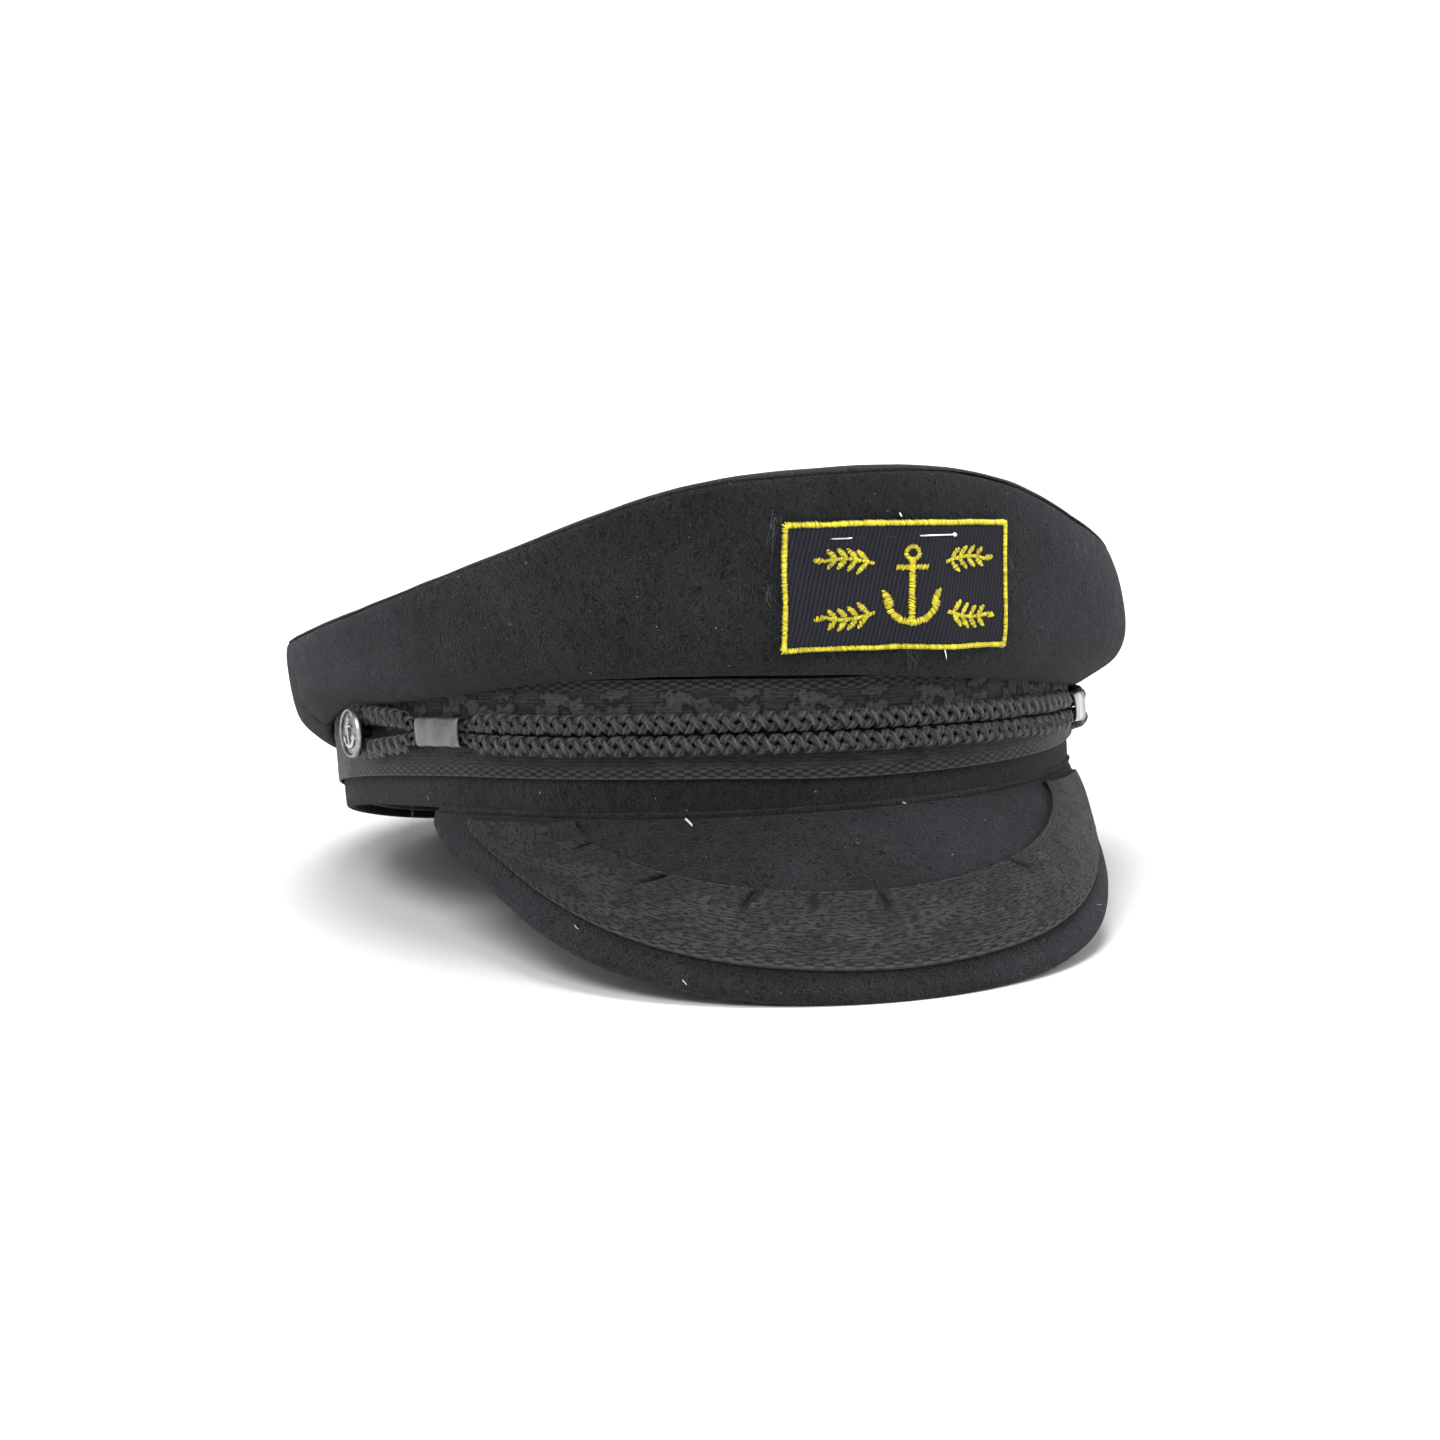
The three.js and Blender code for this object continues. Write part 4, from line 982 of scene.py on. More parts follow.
@dataclass
class Band:
    """The felt headband, its sweatband and the ribbon round it."""

    felt: Felt
    lining: Lining
    cloth: RibbonCloth
    stations: int = 1280
    across: int = 46
    repeat: float = 29.0
    relief: float = 0.42
    edge_wear: float = 0.35
    back_gap: float = 0.12
    back_rows: int = 6
    back_shade: float = 0.3

    def build(self, nodes: dict[str, bpy.types.Object]) -> list[bpy.types.Object]:
        """Builds the band's layers.

        Args:
            nodes: The solids by name.

        Returns:
            Headband, sweatband and ribbon.
        """
        self.headband = softened(nodes["headband"], "headband_felt", 2, 0.00015, 0.0001, 0.55)
        self.sweatband = softened(nodes["sweatband"], "sweatband_cloth", 2, 0.0001, 0.0, 0.55)
        self.ribbon = self.weave()
        return [self.headband, self.sweatband, self.ribbon]

    def pattern(self, along: np.ndarray, up: np.ndarray) -> np.ndarray:
        """Returns the woven relief from 0 to 1, which the ribbon's colour also follows as painted light and shade.

        Args:
            along: Distances round the ribbon in millimetres.
            up: Heights over the ribbon's lower edge in millimetres.

        Returns:
            The relief.
        """
        top = FORM.ribbon_width - up
        loose = 0.25 + 0.25 * drift(along / 3.1, up / 1.3, 3)
        leaves = oak_leaves(along / self.repeat, (up - 14.4) / 10.0, self.repeat / 10.0)
        # Raised leaves are painted lighter, a painted sheen; the hollows round them are painted darkest, a painted
        # shade; the ground varies at random.
        middle = np.where(leaves > 0.02, 0.35 + 0.65 * leaves, np.where(leaves < -0.02, 0.0, loose))
        # The edges are raised and painted light, a painted highlight.
        relief = np.where(np.minimum(up, top) < 0.5, 0.8, middle)
        return np.clip(relief * (0.85 + 0.3 * drift(along / 9, up / 5, 8)), 0, 1)

    def from_edge(self, up: np.ndarray) -> np.ndarray:
        """Returns the distances from the nearer edge."""
        return np.minimum(up, FORM.ribbon_width - up)

    def weave(self) -> bpy.types.Object:
        """Returns the ribbon as a closed loop with its pattern raised."""
        turn = np.arange(self.stations) / self.stations * 360 - 180
        way = distances(FORM.oval(turn, FORM.ribbon_outer, 0), closed=True)
        length = way[:-1] * round(way[-1] / self.repeat) * self.repeat / way[-1]
        up = np.linspace(0, 1, self.across) * FORM.ribbon_width
        relief = self.pattern(length[:, None], up[None, :])
        wave = 0.16 * np.sin(np.radians(turn) * 23 + 1.2) * np.sin(np.radians(turn) * 7)
        lower = FORM.ribbon_height(turn)
        height = lower[:, None] + up[None, :]
        worn = self.edge_wear * (2 * up / FORM.ribbon_width - 1) ** 18
        front = FORM.ribbon_outer - worn[None, :] - self.relief * (1 - relief) + wave[:, None] * 0.5 + 0.1
        outer = FORM.oval(turn[:, None], front, height)
        back_up = np.linspace(1, 0, self.back_rows) * FORM.ribbon_width
        inner = FORM.oval(turn[:, None], FORM.ribbon_inner + self.back_gap, lower[:, None] + back_up[None, :])
        rings = np.concatenate([outer, inner], 1)
        shape = rings.shape[:2]
        flat = np.full((self.stations, self.back_rows), self.back_shade)
        across = np.concatenate([up, back_up])
        values = {
            "relief": np.concatenate([relief, flat], 1),
            "along": np.broadcast_to(length[:, None], shape),
            "across": np.broadcast_to(across[None, :], shape),
            "edge": np.broadcast_to(self.from_edge(across)[None, :], shape)}
        piece = loft("band_ribbon_cloth", FORM.rest(rings), True, values)
        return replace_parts(piece, "band_ribbon")

    def dress(self) -> None:
        """Gives each layer its cloth."""
        self.felt.dress(self.headband)
        self.lining.dress(self.sweatband)
        self.cloth.dress(self.ribbon)


def leaf(x: np.ndarray, y: np.ndarray, length: float, width: float) -> np.ndarray:
    """Returns a lobed leaf along +x from 0 to its length: above 0 inside, -1 in the hollow round it.

    Args:
        x: Distances along the leaf.
        y: Distances from its middle rib.
        length: The leaf's length.
        width: Half its width.

    Returns:
        The relief.
    """
    t = np.clip(x / length, 0, 1)
    lobes = 0.72 + 0.28 * np.cos(t * math.tau * 3.5 - 0.5)
    half = width * np.sin(math.pi * t ** 0.8) ** 0.6 * lobes
    inside = (x > 0) & (x < length) & (np.abs(y) < half)
    round_it = (x > -0.04) & (x < length + 0.04) & (np.abs(y) < half + 0.06)
    rib = np.exp(-(y / (0.12 * width)) ** 2)
    veins = 0.5 + 0.5 * np.cos((x - np.abs(y) * 0.9) * math.tau / (length / 6))
    body = 0.5 + 0.5 * veins - 0.45 * rib
    rounding = np.sqrt(np.clip(1 - (np.abs(y) / np.maximum(half, 1e-6)) ** 2, 0, 1))
    return np.where(inside, np.maximum(body * (0.5 + 0.5 * rounding), 0.03), np.where(round_it, -1.0, 0.0))


def oak_leaves(turns: np.ndarray, rise: np.ndarray, aspect: float) -> np.ndarray:
    """Returns the repeating pattern of oak leaves and acorns.

    Args:
        turns: Distances along the ribbon, in repeats.
        rise: Heights from the pattern's middle, -0.5 to 0.5.
        aspect: A repeat's length as a share of the pattern's height.

    Returns:
        The relief: above 0 on leaves, -1 in the hollows round them and 0 on the ground.
    """
    turns, rise = np.broadcast_arrays(turns, rise)
    x = (turns - np.floor(turns)) * aspect
    relief = np.zeros(x.shape)
    hollow = np.zeros(x.shape, bool)
    leaves = (
        (0.1, -0.25, 35, 1.15, 0.27), (0.95, 0.3, -28, 1.2, 0.26), (1.55, -0.3, 24, 1.1, 0.27),
        (0.35, 0.38, -5, 0.75, 0.18), (1.9, 0.36, 8, 0.7, 0.18))
    for start, level, lean, length, width in leaves:
        for shift in (-aspect, 0, aspect):
            dx, dy = x - start - shift, rise - level
            c, s = math.cos(math.radians(lean)), math.sin(math.radians(lean))
            shape = leaf(dx * c + dy * s, -dx * s + dy * c, length, width)
            relief = np.maximum(relief, shape)
            hollow |= shape < 0
    for start, level in ((0.75, -0.33), (2.35, 0.05)):
        for shift in (-aspect, 0, aspect):
            away = ((x - start - shift) / 0.17) ** 2 + ((rise - level) / 0.11) ** 2
            relief = np.maximum(relief, 0.95 * np.sqrt(np.clip(1 - away, 0, 1)))
            hollow |= away < 1.7
    return np.where(relief > 0, relief, np.where(hollow, -1.0, 0.0))


@dataclass
class Peak:
    """The felt peak and the ribbon on its top."""

    felt: Felt
    cloth: RibbonCloth
    stations: int = 680
    across: int = 58
    swing: float = 0.97
    inner_angle: float = 39.5
    outer_angle: float = 57.5
    inner_share: float = 0.47
    outer_share: float = 0.86
    set_back: float = 0.035
    thickness: float = 1.0
    puckers: tuple[tuple[float, float, float], ...] = (
        (-0.73, 0.7, 0.004), (-0.436, 0.85, -0.003), (-0.239, 1.0, 0.0), (-0.13, 0.55, 0.001),
        (-0.008, 0.8, 0.001), (0.31, 0.5, 0.002))
    pucker_tightness: float = 150
    pucker_reach: float = 5.5
    pucker_depth: float = 1.15
    relief_height: float = 0.34
    under_lift: float = 0.3
    leaf_repeat: float = 29.0
    leaf_height: float = 14.0
    tuck_angle: float = 64.5
    tuck_offset: float = 3.55
    tuck_depth: float = 1.2
    tuck_height: float = 0.8

    def build(self, nodes: dict[str, bpy.types.Object]) -> list[bpy.types.Object]:
        """Builds the peak's layers.

        Args:
            nodes: The solids by name.

        Returns:
            Peak and ribbon.
        """
        self.shell = softened(nodes["peak"], "peak_felt", 2, 0.0003, 0.0001, 0.4)
        self.seam = self.tuck()
        self.ribbon = self.weave()
        return [self.shell, self.seam, self.ribbon]

    def tuck(self) -> bpy.types.Object:
        """Returns the peak's turned-in edge, sewn under the band."""
        turn = np.linspace(-self.tuck_angle, self.tuck_angle, 320)
        phi = circle(12)
        fold = 0.1 * np.sin(np.radians(turn) * 31) * np.sin(np.radians(turn) * 11 + 1)
        offset = self.tuck_offset + self.tuck_depth * np.cos(phi)[None, :] + fold[:, None]
        rise = FORM.rim_height(turn)[:, None] - FORM.clearance * 0.6 + self.tuck_height * np.sin(phi)[None, :]
        return loft("peak_tucked_edge", FORM.rest(FORM.oval(turn[:, None], offset, rise)), False, {})

    def point(self, side: np.ndarray, across: np.ndarray, lift: np.ndarray) -> np.ndarray:
        """Places points on the ribbon.

        Args:
            side: From -1 at the wearer's right end to 1 at the left end.
            across: From 0 at the inner edge to 1 at the outer edge.
            lift: Heights over the peak in millimetres.

        Returns:
            Points in the cap's own frame, in millimetres.
        """
        swing = np.sin(side * math.pi / 2)
        inward = np.maximum(np.cos(side * math.pi / 2), 0)
        inner = self.inner_share * inward ** 0.9
        outer = self.outer_share * inward ** 0.55
        angle = swing * mix(self.inner_angle, self.outer_angle, across)
        share = self.set_back + mix(inner, outer, across) * (1 - self.set_back)
        return FORM.peak_point(angle, share) + FORM.peak_square(angle, share) * np.asarray(lift)[..., None]

    def weave(self) -> bpy.types.Object:
        """Returns the ribbon with its pattern and puckers raised."""
        side = np.linspace(-self.swing, self.swing, self.stations)
        across = np.linspace(0, 1, self.across)
        level = np.zeros(self.stations)
        along = distances(self.point(side, 0.5, level))
        wide = np.linalg.norm(self.point(side, 1, level) - self.point(side, 0, level), axis=1)
        out = across[None, :] * wide[:, None]
        far = along[:, None]
        aspect = self.leaf_repeat / self.leaf_height
        leaves = oak_leaves(far / self.leaf_repeat, (across[None, :] - 0.5) * 1.1, aspect)
        # Leaves are painted a little lighter, a painted sheen, and the hollows round them darker, a painted shade.
        relief = np.where(leaves > 0.02, 0.46 + 0.2 * leaves, np.where(leaves < -0.02, 0.3, 0.42))
        relief = relief * (0.85 + 0.3 * drift(far / 7, out / 4, 13))
        # A thin line near the inner edge is raised a little and painted light, a painted highlight.
        bright = smooth(0.0, 0.2, out) * (1 - smooth(0.35, 0.6, out))
        relief = np.clip(np.maximum(relief, 0.8 * bright), 0, 1)
        pucker = np.zeros_like(relief)
        for place, depth, lean in self.puckers:
            away = (side[:, None] - place - lean * out) * self.pucker_tightness
            pucker += depth * np.exp(-away ** 2) * np.exp(-(out / self.pucker_reach) ** 4)
        ends = np.minimum(1, (self.swing - np.abs(side)) / 0.02 + 0.3)[:, None]
        raised = (self.thickness * 0.9 + self.relief_height * relief) * ends
        lift = raised - self.pucker_depth * np.minimum(pucker, 1) + 0.25
        back = (slice(None), slice(None, None, -11))
        top = self.point(side[:, None], across[None, :], lift)
        under = self.point(side[:, None], across[None, :][back], np.full_like(lift[back], self.under_lift))
        rings = np.concatenate([top, under], 1)
        inward = wide[:, None] - out
        # The puckers' dips are also painted darker in the stored relief: painted shade in the creases.
        values = {
            "relief": np.concatenate([relief - 0.9 * pucker, np.full(under.shape[:2], 0.3)], 1),
            "along": np.broadcast_to(far, rings.shape[:2]),
            "across": np.concatenate([out, out[back]], 1),
            "edge": np.concatenate([inward, inward[back]], 1)}
        piece = loft("peak_ribbon_cloth", FORM.rest(rings), False, values)
        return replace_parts(piece, "peak_ribbon")

    def dress(self) -> None:
        """Gives each layer its cloth."""
        self.felt.dress(self.shell, self.seam)
        self.cloth.dress(self.ribbon)


@dataclass
class CordSet:
    """The braided cord, its two keepers and its two buttons."""

    yarn: CordYarn
    sleeve: Sleeve
    metal: AgedNickel
    half_height: float = 2.2
    half_depth: float = 1.6
    pinched_height: float = 1.2
    pinched_depth: float = 0.85
    lay: float = 7.0
    strand_share: float = 0.5
    crossing: float = 0.36
    plies: int = 3
    ply_turns: int = 2
    ply_depth: float = 0.2
    stations: int = 1500
    around: int = 14
    keeper_length: float = 15.5
    keeper_height: float = 2.875
    keeper_depth: float = 1.15
    keeper_wall: float = 0.4
    button_radius: float = 5.8
    button_back: float = 3.55
    button_depth: float = 1.8

    def build(self) -> list[bpy.types.Object]:
        """Builds cord, keepers and buttons.

        Returns:
            The pieces.
        """
        self.strands = self.braid()
        self.keepers = [self.keeper(side) for side in Side]
        self.buttons = [self.button(side) for side in Side]
        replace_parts(self.keepers[0], "keeper_right")
        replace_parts(self.keepers[1], "keeper_left")
        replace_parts(self.buttons[0], "button_right")
        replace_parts(self.buttons[1], "button_left")
        return [*self.strands, *self.keepers, *self.buttons]

    def route(self) -> tuple[np.ndarray, np.ndarray]:
        """Returns the angle and height of even stations along the loop."""
        angle: list[np.ndarray] = []
        height: list[np.ndarray] = []
        run = np.linspace(FORM.button_right + 1, FORM.button_left - 1, 700)
        bend = np.radians(np.linspace(90, -90, 40))[1:-1]
        for side, runs in ((1, run), (-1, run[::-1])):
            angle.append(runs)
            height.append(FORM.cord_height(runs) + side * FORM.cord_half_gap(runs))
            end = FORM.button_left if side > 0 else FORM.button_right
            turn = bend if side > 0 else -bend
            angle.append(end + side * np.degrees(np.cos(turn) * FORM.cord_bend / (FORM.head_length / 2)))
            height.append(FORM.cord_height(np.full_like(turn, end)) + FORM.cord_bend * np.sin(turn))
        a, h = np.concatenate(angle), np.concatenate(height)
        length = distances(FORM.oval(a, FORM.cord_offset, h), closed=True)
        even = np.arange(self.stations) / self.stations * length[-1]
        return np.interp(even, length, np.append(a, a[0])), np.interp(even, length, np.append(h, h[0]))

    def braid(self) -> list[bpy.types.Object]:
        """Returns the cord's four strands, each a closed loop of twisted yarn."""
        angle, height = self.route()
        centre = FORM.oval(angle, FORM.cord_offset, height)
        length = distances(centre, closed=True)
        turns = length[:-1] / length[-1]
        rounds = round(length[-1] / self.lay)
        along = unit(np.roll(centre, -1, 0) - np.roll(centre, 1, 0))
        out = FORM.outward(angle)
        up = unit(np.cross(along, out))
        pinch = FORM.pinch(angle)
        tall = mix(self.half_height, self.pinched_height, pinch)
        deep = mix(self.half_depth, self.pinched_depth, pinch)
        thick = deep * self.strand_share
        phi = circle(self.around)
        pieces = []
        for number, (way, start) in enumerate(((1, 0.0), (1, 0.5), (-1, 0.0), (-1, 0.5))):
            slow, quick = 37 * turns + start, 83 * turns + way * 0.2
            uneven = 0.16 * np.sin(math.tau * slow) + 0.1 * np.sin(math.tau * quick)
            theta = math.tau * (way * rounds * turns + start) + uneven
            over = way * np.cos(2 * math.tau * rounds * turns)
            loose = 1 + 0.06 * np.sin(math.tau * (61 * turns + number * 0.31))
            across = (deep - thick) * (1 + self.crossing * over) * np.cos(theta) * loose
            upward = (tall - thick) * (1 + 0.4 * self.crossing * over) * np.sin(theta) * loose
            path = centre + across[:, None] * out + upward[:, None] * up
            ahead = unit(np.roll(path, -1, 0) - np.roll(path, 1, 0))
            radial = np.cos(theta)[:, None] * out + np.sin(theta)[:, None] * up
            radial = unit(radial - np.sum(radial * ahead, -1, keepdims=True) * ahead)
            side = np.cross(ahead, radial)
            ply = phi[None, :] * self.plies - math.tau * way * self.ply_turns * rounds * turns[:, None]
            size = thick[:, None] * (1 + self.ply_depth * np.cos(ply))
            ring = np.cos(phi)[None, :, None] * radial[:, None] + np.sin(phi)[None, :, None] * side[:, None]
            rings = path[:, None] + ring * size[..., None]
            # Painted light and shade: lighter where a strand faces out, passes over or crests in its plies, darker
            # in the hollows and where it passes under.
            facing = 0.5 + 0.5 * np.cos(phi)
            relief = (0.55 + 0.45 * over[:, None]) * facing[None, :] + 0.25 * np.cos(ply)
            values = {"relief": np.clip(relief, 0, 1), "twist": ply / math.tau * 3}
            piece = loft(f"cord_strand_{number + 1}", FORM.rest(rings), True, values)
            pieces.append(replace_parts(piece, "cord_loop"))
        return pieces

    def keeper(self, side: Side) -> bpy.types.Object:
        """Returns one flat sleeve.

        Args:
            side: The side it sits on.

        Returns:
            The sleeve.
        """
        angle = FORM.keeper_left if side is Side.LEFT else FORM.keeper_right
        half = math.degrees(self.keeper_length / 2 / (FORM.head_length / 2))
        around, rows_out = 64, 25
        theta = circle(around)
        c, s = np.cos(theta), np.sin(theta)
        round_x, round_y = np.sign(c) * np.abs(c) ** 0.5, np.sign(s) * np.abs(s) ** 0.5
        rows = []
        out = np.linspace(-1, 1, rows_out)
        ends = np.concatenate([out, -out])
        walls = np.repeat([self.keeper_wall, 0.0], rows_out)
        rounding = self.keeper_wall * 0.35
        walls[[0, rows_out - 1]] -= rounding
        walls[[rows_out, -1]] += rounding
        for place, wall in zip(ends, walls):
            a = angle + half * place
            flare = 0.4 * smooth(0.84, 1, place)
            sag = 0.08 * math.sin(place * 9 + angle)
            depth = (self.keeper_depth + wall + flare + sag * 0.5) * round_x
            tall = (self.keeper_height + wall + flare + sag) * round_y
            level = float(FORM.cord_height(np.array([a]))[0])
            rows.append(FORM.oval(np.full(around, a), FORM.cord_offset + depth, level + tall))
        return loft(f"keeper_{side.name.lower()}_sleeve", FORM.rest(np.array(rows)), True, {})

    def button(self, side: Side) -> bpy.types.Object:
        """Returns one anchor button.

        Args:
            side: The side it sits on.

        Returns:
            The button.
        """
        angle = np.array([float(FORM.button_left if side is Side.LEFT else FORM.button_right)])
        level = FORM.cord_height(angle)
        base = FORM.oval(angle, FORM.ribbon_outer + FORM.clearance, level)[0]
        axis = FORM.outward(angle)[0]
        right = unit(np.cross(np.array([0, 0, 1.0]), axis))
        up = np.cross(axis, right)
        around, rows = 96, 40
        r = np.linspace(0, 1, rows)
        d, back, radius = self.button_depth, self.button_back, self.button_radius
        face = back + d * (0.55 + 0.31 * (1 - (r / 0.84) ** 2))
        rim = back + d * (0.62 + 0.38 * np.exp(-((r - 0.92) / 0.055) ** 2))
        front = np.where(r < 0.84, face, rim)
        front = np.where(r > 0.965, back + d * 0.72 - (r - 0.965) / 0.035 * d * 0.3, front)
        theta = circle(around)
        x, y = r[:, None] * np.cos(theta) * radius, r[:, None] * np.sin(theta) * radius
        raised = anchor(x / 4.4, y / 4.4)
        field = 0.5 + 0.35 * raised - 2.6 * raised * (1 - raised)
        relief = np.where(r[:, None] < 0.84, field, 0.6) * (1 - 0.9 * np.exp(-((r[:, None] - 0.85) / 0.03) ** 2))
        high = front[:, None] + 0.42 * raised * (r[:, None] < 0.82)
        back_r = np.array([0.97, 0.9, 0.86, 0.5, 0.26, 0.259, 0.0]) * radius
        back_z = np.array([back + d * 0.3, back + d * 0.15, back + 0.12 * d, back + 0.05, back, 0.0, 0.0])
        rows_x = np.concatenate([x, back_r[:, None] * np.cos(theta)])
        rows_y = np.concatenate([y, back_r[:, None] * np.sin(theta)])
        rows_z = np.concatenate([high, np.broadcast_to(back_z[:, None], (len(back_z), around))])
        points = base + rows_x[..., None] * right + rows_y[..., None] * up + rows_z[..., None] * axis
        shade = np.concatenate([relief, np.full((len(back_z), around), 0.5)])
        name = f"button_{side.name.lower()}_metal"
        piece = loft(name, FORM.rest(points), False, {"relief": shade})
        body = bmesh.new()
        body.from_mesh(piece.data)
        bmesh.ops.remove_doubles(body, verts=body.verts, dist=2e-6)
        body.to_mesh(piece.data)
        body.free()
        return piece

    def dress(self) -> None:
        """Gives each part its finish."""
        self.yarn.dress(*self.strands)
        self.sleeve.dress(*self.keepers)
        self.metal.dress(*self.buttons)


Pair = tuple[float, float]


def bar(x: np.ndarray, y: np.ndarray, start: Pair, end: Pair, width: float) -> np.ndarray:
    """Returns a rounded bar's relief from 0 to 1.

    Args:
        x: Places across.
        y: Places up.
        start: One end.
        end: The other end.
        width: Half the bar's width.

    Returns:
        The relief.
    """
    dx, dy = end[0] - start[0], end[1] - start[1]
    t = np.clip(((x - start[0]) * dx + (y - start[1]) * dy) / (dx * dx + dy * dy), 0, 1)
    away = np.hypot(x - start[0] - t * dx, y - start[1] - t * dy)
    return 1 - smooth(width * 0.55, width * 1.15, away)


def anchor(x: np.ndarray, y: np.ndarray) -> np.ndarray:
    """Returns an anchor's relief inside a circle of radius one."""
    shank = bar(x, y, (0, -0.7), (0, 0.5), 0.1)
    stock = bar(x, y, (-0.36, 0.36), (0.36, 0.36), 0.075)
    ring = 1 - smooth(0.05, 0.11, np.abs(np.hypot(x, y - 0.66) - 0.14))
    arc = 1 - smooth(0.07, 0.15, np.abs(np.hypot(x, y + 0.02) - 0.68))
    arc = arc * smooth(-0.12, -0.24, y)
    flukes = np.maximum(
        bar(x, y, (-0.66, -0.16), (-0.44, -0.3), 0.09), bar(x, y, (0.66, -0.16), (0.44, -0.3), 0.09))
    tips = np.maximum(
        bar(x, y, (-0.68, -0.12), (-0.82, -0.36), 0.07), bar(x, y, (0.68, -0.12), (0.82, -0.36), 0.07))
    rope = np.maximum(
        bar(x, y, (0.1, 0.6), (0.32, 0.1), 0.05), bar(x, y, (0.32, 0.1), (0.1, -0.45), 0.05))
    return np.maximum.reduce([shank, stock, ring, arc, flukes, tips, rope * 0.7])


@dataclass
class Lie:
    """How the patch lies on the softened front panel."""

    tree: BVHTree
    angle: float = 8
    level: float = 43.1
    turn: float = -2
    start: float = 45

    def __post_init__(self) -> None:
        """Finds how far the panel stands out of the head's oval."""
        self.heights = np.linspace(26, 60, 12)
        origins = FORM.rest(FORM.oval(self.angle, self.start, self.heights))
        ways = np.broadcast_to(FORM.turn(-FORM.outward(np.array(self.angle))), origins.shape)
        away = [self.tree.ray_cast(Vector(o), Vector(w), 0.09)[3] for o, w in zip(origins, ways)]
        self.offsets = self.start - np.array(away) / MM

    def point(self, across: np.ndarray, up: np.ndarray, lift: np.ndarray) -> np.ndarray:
        """Places points over the panel.

        Args:
            across: Distances to the wearer's left of the patch's middle.
            up: Distances above the patch's middle.
            lift: Heights over the panel.

        Returns:
            Points where the cap rests, in metres.
        """
        across, up, lift = np.broadcast_arrays(across, up, lift)
        c, s = math.cos(math.radians(self.turn)), math.sin(math.radians(self.turn))
        along = across * c - up * s
        height = self.level + up * c + across * s
        radius = FORM.head_width / 2 + np.interp(height, self.heights, self.offsets)
        angle = self.angle + np.degrees(along / radius)
        start = FORM.rest(FORM.oval(angle, self.start, height))
        inward = FORM.turn(-FORM.outward(angle))
        flat_start, flat_in = start.reshape(-1, 3), inward.reshape(-1, 3)
        found = np.empty_like(flat_start)
        for i, (origin, way) in enumerate(zip(flat_start, flat_in)):
            hit = self.tree.ray_cast(Vector(origin), Vector(way), 0.09)[0]
            found[i] = hit if hit is not None else origin + way * 0.04
        return found.reshape(start.shape) - inward * (lift * MM)[..., None]


